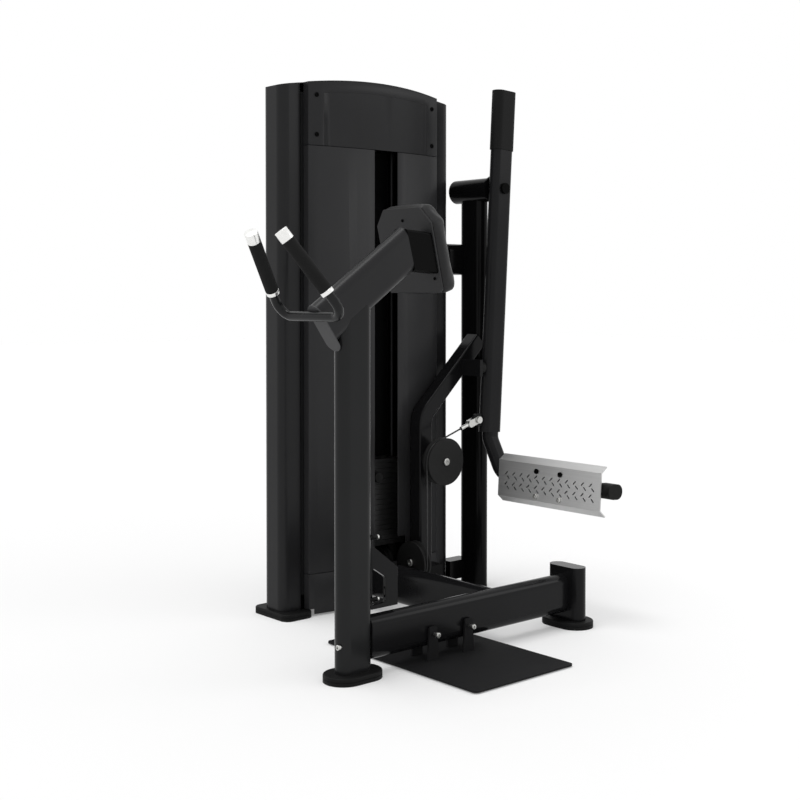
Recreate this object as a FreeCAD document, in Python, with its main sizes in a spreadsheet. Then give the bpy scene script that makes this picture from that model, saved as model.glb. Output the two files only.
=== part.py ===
import FreeCAD, Part
import math
import os
import re
import Sketcher

# Standing glute machine with a weight stack.
# X runs from the handles to the swing arm, Y from the front beam to the tower, Z up.
# The origin lies on the floor under the front column.

V = FreeCAD.Vector

# Lengths in millimetres, angles in degrees.
SIZES = {
    # shared tube sizes
    "wall": 3, "oval_long": 100, "oval_short": 50, "beam_tall": 110, "corner_soft": 6,
    "fit_gap": 0.3, "hair": 0.01, "bore_gap": 0.05, "overrun": 80, "right_angle": 90,
    # rubber feet
    "foot_thick": 20, "foot_round": 4, "groove_low": 9, "groove_high": 11, "groove_deep": 1.5,
    "front_foot_long": 160, "front_foot_wide": 105,
    # front column and floor beams
    "column_top": 950, "beam_low": 40, "base_end": 766, "bracket_x": 791,
    "bracket_high": 171, "bracket_long": 120,
    "link_x": 485, "link_end": 578,
   
    # gusset plate between the column and the base beam
    "gusset_thick": 12, "beam_start": 43, "gusset_tip_x": 58, "gusset_tip_z": 360, "gusset_neck_z": 345,
    "gusset_turn_x": 60, "gusset_turn_z": 322, "gusset_out_x": 142, "gusset_out_z": 258,
    "window_x": 58.6, "window_z": 172, "window_top_z": 268, "window_out_x": 102.6,
    "window_out_z": 238.5, "window_low_z": 175, "window_round": 5,
    "gusset_low": 163, "gusset_bolt_radius": 6,
    "gusset_bolt_x": 72, "gusset_bolt_high": 345, "gusset_bolt_low": 190,
    "adjust_hole_radius": 3, "adjust_hole_high": 211, "adjust_hole_low": 189,
    "column_bolt_z": 89, "column_bolt_radius": 7, "column_bolt_head": 6,
    # diagonal beam, pad arm and handles
    "diag_x": -92.9, "diag_z": 877.0, "diag_angle": 35.05, "diag_long": 320.3, "diag_spare": 70,
    "mitre_angle": 15.1, "arm_drop": 4.8, "pad_arm_spare": 200,
    "end_cap_thick": 3, "end_cap_tall": 136, "end_cap_drop": 12,
    "diag_tall": 110, "pad_arm_tall": 102, "pad_arm_round": 6,
    "bar_up": 31.2, "u_tilt": 34.6, "bar_radius": 12, "u_bend": 35,
    "u_wide": 129.3, "u_angle": 16,
    "grip_from": 79, "grip_long": 144, "grip_radius": 16.5, "ring_long": 10, "cap_long": 28,
    "cap_end": 3,
    # pad
    "pad_x": 241, "pad_z": 1097, "pad_y": 78, "pad_tilt": 13.3, "plate_thick": 5,
    "plate_top": 77, "plate_shoulder": 35, "plate_bottom": 149, "plate_half": 107,
    "plate_top_half": 71, "plate_cut": 10, "plate_screw_y": 86, "plate_screw_top": 45,
    "plate_screw_low": 111, "screw_radius": 4, "screw_head": 2,
    "cushion_grow": 7, "cushion_thick": 62, "cushion_crown": 9, "cushion_soft": 12,
    "cushion_step": 3,
    # step plate
    "step_x0": 141, "step_x1": 490, "step_half": 290, "step_low": 3, "step_thick": 5,
    "step_round": 12, "lug_x0": 226, "lug_x1": 352, "lug_wide": 26, "lug_high": 95,
    "lug_near": 28, "lug_thick": 6, "lug_flare": 6, "step_bolt_z": 76, "step_bolt_radius": 4,
    "step_head_radius": 7, "step_head_long": 8, "step_head_y": 55,
    # tower
    "tower_x": 530, "tower_y": 623, "tower_half": 332, "tower_deep_half": 50, "post_wide": 68,
    "post_round": 27, "post_small_round": 4, "crown_radius": 1855, "crown_z": 1586,
    "cap_thick": 3, "panel_half": 254, "panel_return": 24, "panel_sag": 24, "sheet_thick": 2.5,
    "head_tall": 201, "shroud_low": 126, "plinth_low": 6, "slot_x0": 508, "slot_x1": 601,
    "seam_gap": 1.5, "recess_x0": 328, "recess_x1": 734, "recess_drop": 35, "recess_deep": 1,
    "head_screw_x": 27, "head_screw_first": 54, "head_screw_second": 170, "head_screw_radius": 7,
    "head_screw_thick": 2,
    "pier_half": 52, "pier_front": 537, "pier_back": 709, "pier_round": 25, "pier_shift": 4,
    "tower_beam_low": 20, "tower_beam_high": 60, "tower_beam_y0": 583, "tower_beam_y1": 655,
    "top_beam_drop": 194, "top_beam_tall": 40,
    "flange_side": 5, "frame_thick": 5, "frame_low": 62, "frame_drop": 46, "strip_wide": 28,
    "link_gap": 2, "notch_x0": 598, "notch_x1": 706, "notch_high": 200,
    # guides and weight stack
    "stack_x": 555, "stack_y": 617, "guide_off": 98, "guide_radius": 12.5, "guide_gap": 0.5,
    "buffer_radius": 18, "buffer_high": 108, "plate_half_x": 118, "plate_half_y": 38,
    "plate_pitch": 16, "plate_body": 15, "plate_inset": 3, "resting_count": 13, "lifted_count": 3,
    "top_plate_thick": 13, "stem_radius": 9, "stem_gap": 0.6, "stem_above": 30,
    "pin_radius": 4, "pin_gap": 0.4, "knob_radius": 17, "knob_long": 20, "pin_deep": 12,
    # upright post and its beams
    "post_x": 930, "post_y": 528, "post_low": 8,
    "tie_y": 573, "tie_low": 25, "tie_high": 85, "cross_low": 1011, "tie_start": 842,
    # hinge of the swing arm
    "pivot_x": 927.2, "pivot_z": 1282, "hub_radius": 38, "hub_front": 434.5, "hub_back": 606.4,
    "flange_radius": 44, "flange_thick": 6, "bearing_bore": 15, "bearing_radius": 26,
    "bearing_long": 15, "shaft_end": 4, "hinge_cap_radius": 17, "hinge_cap_long": 8,
    # swing arm
    "arm_y": 410.2, "arm_tilt": 3.34, "arm_wide": 80, "arm_thick": 40, "arm_down": 769,
    "arm_up": 306, "sleeve_from": 122.4, "sleeve_top": 309, "sleeve_grow": 3,
    "bar_wide": 56, "bar_thick": 40, "bar_shift": 4, "bar_straight": 20,
    "bar_drop": 130.6, "bar_second_y": 343,
    "bar_bend_one": 40, "bar_bend_two": 60, "bar_end_y": -100, "bar_cap_y": -58.7,
    "bar_cap_thick": 2,
    "tread_front": 30, "tread_thick": 3.5, "tread_y0": -76.1, "tread_y1": 331.7,
    "tread_up": 52.1, "tread_down": 57.6, "flange_back": 23.3, "flange_out": 18.4,
    "slot_pitch": 30.6, "slot_count": 12, "slot_first_y": 298.8, "slot_second_y": 290,
    "slot_up": 13.6, "slot_row_step": 31, "slot_drop": 13, "slot_half": 3.6, "slot_radius": 1.9,
    "mount_half_y": 64, "mount_half_z": 52, "mount_mid_y": 126.4, "mount_back": 20,
    "tread_bolt_y0": 79.3, "tread_bolt_y1": 173.4, "tread_bolt_up": 31.1,
    "tread_bolt_down": 43.9, "tread_bolt_radius": 4, "tread_head_radius": 7.5,
    "tread_head_long": 5, "tread_nut_long": 7, "mount_low": 2.8,
    # cable lug, rod end and pulleys
    "lug_back": 57.5, "lug_rise": 38.2, "lug_radius": 20, "lug_plate": 8, "lug_bolt_radius": 5,
    "lug_head_radius": 10.7, "lug_head_long": 6, "lug_reach": 73, "fork_thick": 4, "fork_wide": 11,
    "fork_long": 32, "rod_radius": 6, "web_from": 24, "web_to": 38,
    "cable_angle": 18.6, "cable_radius": 2.5,
    "sheave_x": 683.5, "sheave_z": 437.4, "sheave_radius": 72, "sheave_groove": 66,
    "sheave_half": 13.5, "sheave_lip": 8, "sheave_root": 3, "axle_radius": 8,
    "axle_head_radius": 11, "axle_head_long": 5, "spacer_radius": 14,
    "low_sheave_y": 470.2, "low_sheave_z": 127.7, "low_sheave_radius": 64,
    "low_sheave_groove": 60, "inner_groove": 40, "groove_lip": 5,
    "back_cable_y": 664, "top_sheave_drop": 108, "hanger_thick": 5,
    "hanger_half": 24,
    # bent support tube, shoe and stop
    "strut_x": 677.5, "strut_y": 505, "strut_half": 25, "strut_low": 113, "strut_corner_z": 572.3,
    "strut_slope": 44.1, "strut_bend": 70, "strut_run": 330,
    "shoe_x0": 597, "shoe_x1": 714, "shoe_box_x": 641, "shoe_y0": 444, "shoe_y1": 526,
    "shoe_low": 34, "shoe_high": 113, "shoe_sheet": 4, "shoe_cheek": 635, "shoe_cheek_high": 165,
    "stay_x0": 650, "stay_x1": 700, "stay_low": 40, "stay_high": 90,
    "shoe_knob_radius": 12, "shoe_knob_long": 14, "shoe_knob_y": 470, "shoe_knob_z": 62,
    "stop_x0": 822, "stop_x1": 834, "stop_y0": 391, "stop_low": 692, "stop_high": 744,
    "bumper_radius": 19, "bumper_x1": 852.8,
}

doc = FreeCAD.newDocument("GluteMachine")
sheet = doc.addObject("Spreadsheet::Sheet", "Sizes")
for row, (alias, value) in enumerate(SIZES.items(), start=1):
    sheet.set("A%d" % row, alias)
    sheet.set("B%d" % row, str(value))
    sheet.setAlias("B%d" % row, alias)
doc.recompute()

NODES = {}


# Places that hang on another size.
LINKS = {
    "head_low": "(crown_z - head_tall)",
    "head_screw_high": "(crown_z - head_screw_first)",
    "head_screw_low": "(crown_z - head_screw_second)",
    "top_beam_low": "(crown_z - top_beam_drop)",
    "top_beam_high": "(crown_z - top_beam_drop + top_beam_tall)",
    "top_sheave_z": "(crown_z - top_sheave_drop)",
    "frame_top": "(crown_z - frame_drop)",
    "lug_down": "(arm_down - lug_rise)",
    "bar_bend_low": "(arm_down + bar_straight)",
    "bar_low": "(arm_down + bar_drop)",
    "tread_top": "(arm_down + bar_drop - tread_up)",
    "tread_low": "(arm_down + bar_drop + tread_down)",
    "slot_row_z": "(arm_down + bar_drop - slot_up)",
    "tread_bolt_top": "(arm_down + bar_drop - tread_bolt_up)",
    "tread_bolt_low": "(arm_down + bar_drop + tread_bolt_down)",
    "tread_mid": "(arm_down + bar_drop + mount_low)",
}


def expand(text):
    # names of sizes become references to the sheet
    def refer(found):
        word = found.group()
        return "Sizes." + word if word in SIZES else word
    linked = re.sub(r"[a-z]\w*", lambda found: LINKS.get(found.group(), found.group()), text)
    return re.sub(r"[a-z]\w*", refer, linked)


def number(text):
    value = sheet.evalExpression(expand(text))
    return float(getattr(value, "Value", value))


def bind(obj, prop, text):
    obj.setExpression(prop, expand(text))


def place(obj, x="0", y="0", z="0", axis=None, angle=None):
    # the angle turns about the given axis through the given point
    if axis:
        obj.Placement = FreeCAD.Placement(V(), FreeCAD.Rotation(V(*axis), number(angle)))
        bind(obj, "Placement.Rotation.Angle", angle)
    for letter, text in (("x", x), ("y", y), ("z", z)):
        if text != "0":
            bind(obj, "Placement.Base." + letter, text)
    return obj


def keep(label, obj):
    obj.Label = label
    NODES[label] = obj
    return obj


def new_body(name):
    return doc.addObject("PartDesign::Body", name)


def new_sketch(body, role, depth="0"):
    made = body.newObject("Sketcher::SketchObject", body.Name + "_outline")
    plane = [item for item in body.Origin.OriginFeatures if item.Role == role][0]
    made.AttachmentSupport = [(plane, "")]
    made.MapMode = "FlatFace"
    if depth != "0":
        bind(made, "AttachmentOffset.Base.z", depth)
    return made


def pin(made, kind, spots, text):
    # a constraint whose value comes from the sheet
    made.addConstraint(Sketcher.Constraint(kind, *spots, number(text)))
    if text != "0":
        bind(made, "Constraints[%d]" % (made.ConstraintCount - 1), text)


def pin_point(made, spot, x, y):
    pin(made, "DistanceX", (-1, 1) + spot, x)
    pin(made, "DistanceY", (-1, 1) + spot, y)


def draw_circle(made, x, y, radius):
    centre = V(number(x), number(y), 0)
    curve = made.addGeometry(Part.Circle(centre, V(0, 0, 1), number(radius)), False)
    pin_point(made, (curve, 3), x, y)
    pin(made, "Radius", (curve,), radius)


def draw_slot(made, first, second, radius):
    # two half circles about the given centres, joined by tangent lines
    one = V(number(first[0]), number(first[1]), 0)
    two = V(number(second[0]), number(second[1]), 0)
    size = number(radius)
    along = two - one
    along.normalize()
    side = V(-along.y, along.x, 0) * size
    base = made.GeometryCount
    made.addGeometry(Part.Arc(two - side, two + along * size, two + side), False)
    made.addGeometry(Part.LineSegment(two + side, one + side), False)
    made.addGeometry(Part.Arc(one + side, one - along * size, one - side), False)
    made.addGeometry(Part.LineSegment(one - side, two - side), False)
    for item in range(4):
        follower = (item + 1) % 4
        made.addConstraint(Sketcher.Constraint("Tangent", base + item, 2, base + follower, 1))
    pin_point(made, (base, 3), *second)
    pin_point(made, (base + 2, 3), *first)
    pin(made, "Radius", (base,), radius)
    pin(made, "Radius", (base + 2,), radius)


def corner_arc(before, spot, after, radius):
    # start, middle and end of the round in one corner, and its sense of turn
    first = spot - before
    second = after - spot
    first.normalize()
    second.normalize()
    turn = first.getAngle(second)
    back = radius * math.tan(turn / 2)
    inward = second - first
    inward.normalize()
    centre = spot + inward * (radius / math.cos(turn / 2))
    return spot - first * back, centre - inward * radius, spot + second * back, first.cross(second).z


def draw_route(made, corners, rounds, closed):
    # a line through the corners; each round is a radius or None for a sharp corner
    spots = [V(number(x), number(y), 0) for x, y in corners]
    count = len(spots)
    legs = count if closed else count - 1
    guide = made.GeometryCount
    for leg in range(legs):
        made.addGeometry(Part.LineSegment(spots[leg], spots[(leg + 1) % count]), True)
    for leg in range(legs if closed else legs - 1):
        made.addConstraint(Sketcher.Constraint("Coincident", guide + leg, 2, guide + (leg + 1) % legs, 1))
    for corner, (x, y) in enumerate(corners):
        spot = (guide + corner, 1) if corner < legs else (guide + corner - 1, 2)
        pin_point(made, spot, x, y)
    starts = list(spots[:legs])
    ends = [spots[(leg + 1) % count] for leg in range(legs)]
    arcs = {}
    for corner in range(0 if closed else 1, count if closed else count - 1):
        radius = rounds[corner]
        if radius:
            arc = corner_arc(spots[corner - 1], spots[corner], spots[(corner + 1) % count], number(radius))
            arcs[corner] = arc
            ends[corner - 1] = arc[0]
            starts[corner] = arc[2]
    real = made.GeometryCount
    for leg in range(legs):
        made.addGeometry(Part.LineSegment(starts[leg], ends[leg]), False)
    for corner in range(0 if closed else 1, count if closed else count - 1):
        before = (corner - 1) % legs
        if corner not in arcs:
            made.addConstraint(Sketcher.Constraint("Coincident", real + before, 2, real + corner, 1))
            made.addConstraint(Sketcher.Constraint("Coincident", real + corner, 1, guide + corner, 1))
            continue
        low, middle, high, sense = arcs[corner]
        curve = made.addGeometry(Part.Arc(low, middle, high), False)
        near, far = (1, 2) if sense > 0 else (2, 1)
        made.addConstraint(Sketcher.Constraint("PointOnObject", real + before, 2, guide + before))
        made.addConstraint(Sketcher.Constraint("PointOnObject", real + corner, 1, guide + corner))
        made.addConstraint(Sketcher.Constraint("Tangent", real + before, 2, curve, near))
        made.addConstraint(Sketcher.Constraint("Tangent", curve, far, real + corner, 1))
        pin(made, "Radius", (curve,), rounds[corner])
    if not closed:
        made.addConstraint(Sketcher.Constraint("Coincident", real, 1, guide, 1))
        made.addConstraint(Sketcher.Constraint("Coincident", real + legs - 1, 2, guide + legs - 1, 2))


def draw_outline(made, corners, radius=None):
    rounds = radius if isinstance(radius, list) else [radius] * len(corners)
    draw_route(made, corners, rounds, True)


def draw_box(made, x0, y0, x1, y1, radius=None):
    draw_outline(made, [(x0, y0), (x1, y0), (x1, y1), (x0, y1)], radius)


def pad_up(body, made, length):
    feature = body.newObject("PartDesign::Pad", body.Name + "_pad")
    feature.Profile = made
    bind(feature, "Length", length)
    return feature


def slab(name, role, low, high, draw):
    # a drawn outline thickened between two depths of the plane's own axis
    body = new_body(name)
    if role == "XZ_Plane":
        made = new_sketch(body, role, "-(%s)" % high)
    else:
        made = new_sketch(body, role, low)
    draw(made)
    pad_up(body, made, "(%s) - (%s)" % (high, low))
    return body


def block(name, x0, x1, y0, y1, z0, z1):
    obj = doc.addObject("Part::Box", name)
    bind(obj, "Length", "(%s) - (%s)" % (x1, x0))
    bind(obj, "Width", "(%s) - (%s)" % (y1, y0))
    bind(obj, "Height", "(%s) - (%s)" % (z1, z0))
    return place(obj, x0, y0, z0)


TURNS = {"x": ((0, 1, 0), 90), "y": ((1, 0, 0), -90), "z": ((0, 0, 1), 0)}


def rod(name, axis, x, y, z, radius, length):
    obj = doc.addObject("Part::Cylinder", name)
    obj.Placement = FreeCAD.Placement(V(), FreeCAD.Rotation(V(*TURNS[axis][0]), TURNS[axis][1]))
    bind(obj, "Radius", radius)
    bind(obj, "Height", length)
    return place(obj, x, y, z)


def join(name, *parts):
    obj = doc.addObject("Part::MultiFuse", name)
    obj.Shapes = list(parts)
    return obj


def cut(name, base, *tools):
    obj = doc.addObject("Part::Cut", name)
    obj.Base = base
    obj.Tool = tools[0] if len(tools) == 1 else join(name + "_tools", *tools)
    return obj


def meet(name, base, tool):
    obj = doc.addObject("Part::Common", name)
    obj.Base = base
    obj.Tool = tool
    return obj


def soften(body, radius, choose):
    doc.recompute()
    tip = body.Tip
    names = ["Edge%d" % (i + 1) for i, edge in enumerate(tip.Shape.Edges) if choose(edge)]
    feature = body.newObject("PartDesign::Fillet", body.Name + "_soft")
    feature.Base = (tip, names)
    bind(feature, "Radius", radius)
    return feature


def oval_tube(name, role, low, high, x, y, tall, wide, upright, solid=False):
    # a flat-sided oval: straight sides and half round edges
    def draw(made):
        half = "(%s - %s) / 2" % (tall, wide)
        if upright:
            spots = (x, "%s - %s" % (y, half)), (x, "%s + %s" % (y, half))
        else:
            spots = ("%s - %s" % (x, half), y), ("%s + %s" % (x, half), y)
        draw_slot(made, spots[0], spots[1], wide + " / 2")
        if not solid:
            draw_slot(made, spots[0], spots[1], wide + " / 2 - wall")
    return slab(name, role, low, high, draw)


def swept(name, path_role, corners, rounds, start_role, start_depth, draw):
    body = new_body(name)
    path = new_sketch(body, path_role)
    draw_route(path, corners, rounds, False)
    profile = new_sketch(body, start_role, start_depth)
    draw(profile)
    doc.recompute()
    feature = body.newObject("PartDesign::AdditivePipe", name + "_pipe")
    feature.Profile = profile
    feature.Spine = (path, ["Edge%d" % (i + 1) for i in range(len(path.Shape.Edges))])
    return body


def top_edges(height):
    return lambda edge: edge.BoundBox.ZMin > number(height + " - hair")


def rubber_foot(label, draw, inner, outer):
    # a rounded pad with a shallow groove round its side
    body = slab(label + "_form", "XY_Plane", "0", "foot_thick", draw)
    soften(body, "foot_round", top_edges("foot_thick"))

    def ring(made):
        outer(made)
        inner(made)
    groove = slab(label + "_ring", "XY_Plane", "groove_low", "groove_high", ring)
    return keep(label, cut(label, body, groove))


def oval_draw(x, y, tall, wide, upright, grow="0"):
    half = "(%s - %s) / 2" % (tall, wide)

    def draw(made):
        if upright:
            ends = (x, "%s - %s" % (y, half)), (x, "%s + %s" % (y, half))
        else:
            ends = ("%s - %s" % (x, half), y), ("%s + %s" % (x, half), y)
        draw_slot(made, ends[0], ends[1], "%s / 2 + %s" % (wide, grow))
    return draw


# front column with its foot
column_form = oval_tube("column_form", "XY_Plane", "foot_thick", "column_top", "0", "0",
                        "oval_long", "oval_short", False, True)
column_tube = oval_tube("column_tube", "XY_Plane", "foot_thick", "column_top", "0", "0",
                        "oval_long", "oval_short", False)


def foot_at(label, x, y, tall, wide, upright):
    rubber_foot(label, oval_draw(x, y, tall, wide, upright),
                oval_draw(x, y, tall, wide, upright, "-groove_deep"),
                oval_draw(x, y, tall, wide, upright, "foot_round"))


foot_at("front_foot", "0", "0", "front_foot_long", "front_foot_wide", False)
foot_at("end_foot", "bracket_x", "0", "front_foot_long", "front_foot_wide", True)

# diagonal beam: local X runs up along the beam
MITRE_X = "diag_x + diag_long * cos(diag_angle)"
MITRE_Z = "diag_z + diag_long * sin(diag_angle)"


def along_diagonal(body):
    return place(body, "diag_x", "0", "diag_z", (0, -1, 0), "diag_angle")


def half_space(name, low, high):
    def draw(made):
        draw_box(made, low, "-2 * overrun", high, "2 * overrun")
    return slab(name, "XZ_Plane", "-2 * overrun", "2 * overrun", draw)


diag_form = along_diagonal(oval_tube("diag_form", "YZ_Plane", "0", "diag_long + diag_spare",
                                     "0", "0", "diag_tall", "oval_short", True, True))
diag_tube = along_diagonal(oval_tube("diag_tube", "YZ_Plane", "0", "diag_long + diag_spare",
                                     "0", "0", "diag_tall", "oval_short", True))
mitre_above = place(half_space("mitre_above", "0", "2 * overrun"), MITRE_X, "0", MITRE_Z,
                    (0, -1, 0), "mitre_angle")
mitre_below = place(half_space("mitre_below", "-2 * overrun", "0"), MITRE_X, "0", MITRE_Z,
                    (0, -1, 0), "mitre_angle")
keep("diagonal_beam", cut("diagonal_beam", diag_tube, mitre_above))
end_cap = along_diagonal(oval_tube("end_cap", "YZ_Plane", "-end_cap_thick", "0",
                                   "0", "-end_cap_drop", "end_cap_tall", "oval_short", True, True))
keep("front_column", cut("front_column", column_tube, diag_form, end_cap))

BAR_X = "diag_x - bar_radius * cos(diag_angle) - bar_up * sin(diag_angle)"
BAR_Z = "diag_z - bar_radius * sin(diag_angle) + bar_up * cos(diag_angle)"
bar_solid = rod("bar_solid", "y", BAR_X, "-2 * overrun", BAR_Z, "bar_radius", "4 * overrun")
keep("beam_end_cap", cut("beam_end_cap", end_cap, bar_solid))


# pad arm, its backplate and the cushion: local X points at the user, local Z up the plate
def on_pad(body):
    return place(body, "pad_x", "pad_y", "pad_z", (0, -1, 0), "pad_tilt")


def pad_arm_section(made):
    for inset, soft in (("0", "pad_arm_round"), ("wall", "pad_arm_round - wall")):
        draw_box(made, "-oval_short / 2 + " + inset, "-pad_arm_tall / 2 + " + inset,
                 "oval_short / 2 - " + inset, "pad_arm_tall / 2 - " + inset, soft)


pad_tube = place(slab("pad_tube", "YZ_Plane", "-diag_spare", "pad_arm_spare", pad_arm_section),
                 MITRE_X, "0", MITRE_Z, (0, 1, 0), "arm_drop")
pad_front = place(half_space("pad_front", "0", "3 * overrun"), "pad_x", "0", "pad_z",
                  (0, -1, 0), "pad_tilt")
keep("pad_arm", cut("pad_arm", pad_tube, mitre_below, pad_front))


def pad_outline(grow):
    side = "(plate_half + %s)" % grow
    top = "(plate_top + %s)" % grow
    top_side = "(plate_top_half + %s / 2)" % grow
    low = "-(plate_bottom + %s)" % grow

    def draw(made):
        draw_outline(made, [
            ("-" + top_side, top), ("-" + side, "plate_shoulder"), ("-" + side, low + " + plate_cut"),
            ("-" + side + " + plate_cut", low), (side + " - plate_cut", low),
            (side, low + " + plate_cut"), (side, "plate_shoulder"), (top_side, top)])
    return draw


def make_cushion():
    body = new_body("cushion_form")
    depths = ["plate_thick", "plate_thick + cushion_soft",
              "plate_thick + cushion_thick - 2 * cushion_soft", "plate_thick + cushion_thick"]
    sections = []
    for depth, grow in zip(depths, ["cushion_step", "cushion_grow", "cushion_grow", "(-cushion_soft)"]):
        made = new_sketch(body, "YZ_Plane", depth)
        pad_outline(grow)(made)
        sections.append(made)
    loft = body.newObject("PartDesign::AdditiveLoft", "cushion_loft")
    loft.Profile = sections[0]
    loft.Sections = sections[1:]
    loft.Ruled = True
    on_pad(body)
    ball = doc.addObject("Part::Sphere", "crown_ball")
    radius = "((plate_bottom ^ 2 + cushion_crown ^ 2) / (2 * cushion_crown))"
    bind(ball, "Radius", radius)
    away = "(plate_thick + cushion_thick - %s)" % radius
    drop = "((plate_top - plate_bottom) / 2)"
    place(ball, "pad_x + %s * cos(pad_tilt) - %s * sin(pad_tilt)" % (away, drop), "pad_y",
          "pad_z + %s * sin(pad_tilt) + %s * cos(pad_tilt)" % (away, drop))
    keep("pad_cushion", meet("pad_cushion", body, ball))


keep("pad_backplate", on_pad(slab("pad_backplate", "YZ_Plane", "0", "plate_thick", pad_outline("0"))))
make_cushion()


def pad_screw_draw(made):
    draw_circle(made, "0", "plate_screw_top", "screw_radius")
    draw_circle(made, "plate_screw_y", "-plate_screw_low", "screw_radius")
    draw_circle(made, "-plate_screw_y", "-plate_screw_low", "screw_radius")


keep("pad_screws", on_pad(slab("pad_screws", "YZ_Plane", "-screw_head", "0", pad_screw_draw)))


# handles: the U lies in a tilted plane; local Z runs up that plane
def on_handle(body):
    return place(body, BAR_X, "0", BAR_Z, (0, -1, 0), "u_tilt")


def limb_point(away, off):
    return ("u_wide - (%s) * sin(u_angle) + (%s) * cos(u_angle)" % (away, off),
            "(%s) * cos(u_angle) + (%s) * sin(u_angle)" % (away, off))


def mirror_side(body, feature):
    made = body.newObject("PartDesign::Mirrored", body.Name + "_pair")
    made.Originals = [feature]
    plane = [item for item in body.Origin.OriginFeatures if item.Role == "XZ_Plane"][0]
    made.MirrorPlane = (plane, [""])
    body.Tip = made


def handle_tube():
    end = "grip_from + grip_long + cap_long - cap_end"
    body = swept("handle_bar", "YZ_Plane", [("0", "0"), ("u_wide", "0"), limb_point(end, "0")],
                 [None, "u_bend", None], "XZ_Plane", "0",
                 lambda made: draw_circle(made, "0", "0", "bar_radius"))
    mirror_side(body, body.Tip)
    keep("handle_bar", on_handle(body))


def limb_sleeve(label, corners):
    # a turned piece round each limb of the U
    body = new_body(label)
    made = new_sketch(body, "YZ_Plane")
    first = limb_point("0", "0")
    last = limb_point("overrun", "0")
    made.addGeometry(Part.LineSegment(V(number(first[0]), number(first[1]), 0),
                                      V(number(last[0]), number(last[1]), 0)), True)
    pin_point(made, (0, 1), *first)
    pin_point(made, (0, 2), *last)
    draw_outline(made, [limb_point(*corner) for corner in corners])
    turned = body.newObject("PartDesign::Revolution", label + "_turned")
    turned.Profile = made
    turned.ReferenceAxis = (made, ["Axis0"])
    mirror_side(body, turned)
    keep(label, on_handle(body))


def handles():
    handle_tube()
    low = "grip_from - ring_long"
    high = "(grip_from + grip_long)"
    limb_sleeve("grips", [("grip_from", "bar_radius"), (high, "bar_radius"),
                          (high, "grip_radius"), ("grip_from", "grip_radius")])
    limb_sleeve("handle_rings", [(low, "bar_radius"), ("grip_from", "bar_radius"),
                                 ("grip_from", "grip_radius"), (low, "grip_radius")])
    end = high + " + cap_long"
    limb_sleeve("handle_caps", [(high, "bar_radius"), (end + " - cap_end", "bar_radius"),
                                (end + " - cap_end", "0"), (end, "0"),
                                (end, "grip_radius"), (high, "grip_radius")])


handles()

# floor beams
BEAM_MID = "beam_low + beam_tall / 2"
base_form = oval_tube("base_form", "YZ_Plane", "0", "base_end", "0", BEAM_MID,
                      "beam_tall", "oval_short", True, True)
base_tube = oval_tube("base_tube", "YZ_Plane", "beam_start", "base_end", "0", BEAM_MID,
                      "beam_tall", "oval_short", True)
base_end = oval_tube("base_close", "YZ_Plane", "beam_start", "beam_start + wall", "0", BEAM_MID,
                     "beam_tall", "oval_short", True, True)
keep("base_beam", cut("base_beam", join("base_set", base_tube, base_end), column_form))
bracket_tube = oval_tube("bracket_tube", "XY_Plane", "foot_thick", "bracket_high", "bracket_x", "0",
                         "bracket_long", "oval_short", True)
bracket_top = oval_tube("bracket_top", "XY_Plane", "bracket_high - wall", "bracket_high", "bracket_x", "0",
                        "bracket_long", "oval_short", True, True)
keep("end_bracket", join("end_bracket", bracket_tube, bracket_top))
link_tube = oval_tube("link_tube", "XZ_Plane", "0", "link_end", "link_x", BEAM_MID,
                      "beam_tall", "oval_short", True)
link_flange = block("link_flange", "link_x - oval_short / 2 - flange_side",
                    "link_x + oval_short / 2 + flange_side", "link_end", "tower_beam_y0",
                    "tower_beam_low", "beam_low + beam_tall")
keep("link_beam", join("link_beam", cut("link_cut", link_tube, base_form), link_flange))


def gusset():
    def draw(made):
        draw_outline(made, [
            ("beam_start", "gusset_low"), ("gusset_out_x", "gusset_low"),
            ("gusset_out_x", "gusset_out_z"), ("gusset_turn_x", "gusset_turn_z"),
            ("gusset_tip_x", "gusset_neck_z"), ("gusset_tip_x", "gusset_tip_z"),
            ("beam_start", "gusset_tip_z")])
        draw_outline(made, [("window_x", "window_z"), ("window_out_x", "window_low_z"),
                            ("window_out_x", "window_out_z"), ("window_x", "window_top_z")],
                     "window_round")
    body = slab("gusset_form", "XZ_Plane", "-gusset_thick / 2", "gusset_thick / 2", draw)
    holes = [rod("adjust_" + name, "x", "window_out_x - window_round", "0", "adjust_hole_" + name,
                 "adjust_hole_radius", "overrun") for name in ("high", "low")]
    keep("gusset_plate", cut("gusset_plate", body, column_form, *holes))
    bolts = [rod("gusset_bolt_" + name, "x", "beam_start",
                 "-gusset_bolt_radius - gusset_thick / 2",
                 "gusset_bolt_" + name, "gusset_bolt_radius", "gusset_bolt_x - beam_start")
             for name in ("high", "low")]
    keep("gusset_bolts", cut("gusset_bolts", join("gusset_bolt_pair", *bolts), column_form))
    head = rod("column_bolt_head", "x", "-oval_long / 2 - column_bolt_head", "-column_bolt_radius - wall",
               "column_bolt_z", "column_bolt_radius", "oval_short / 2")
    keep("column_bolt", cut("column_bolt", head, column_form))


gusset()


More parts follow.
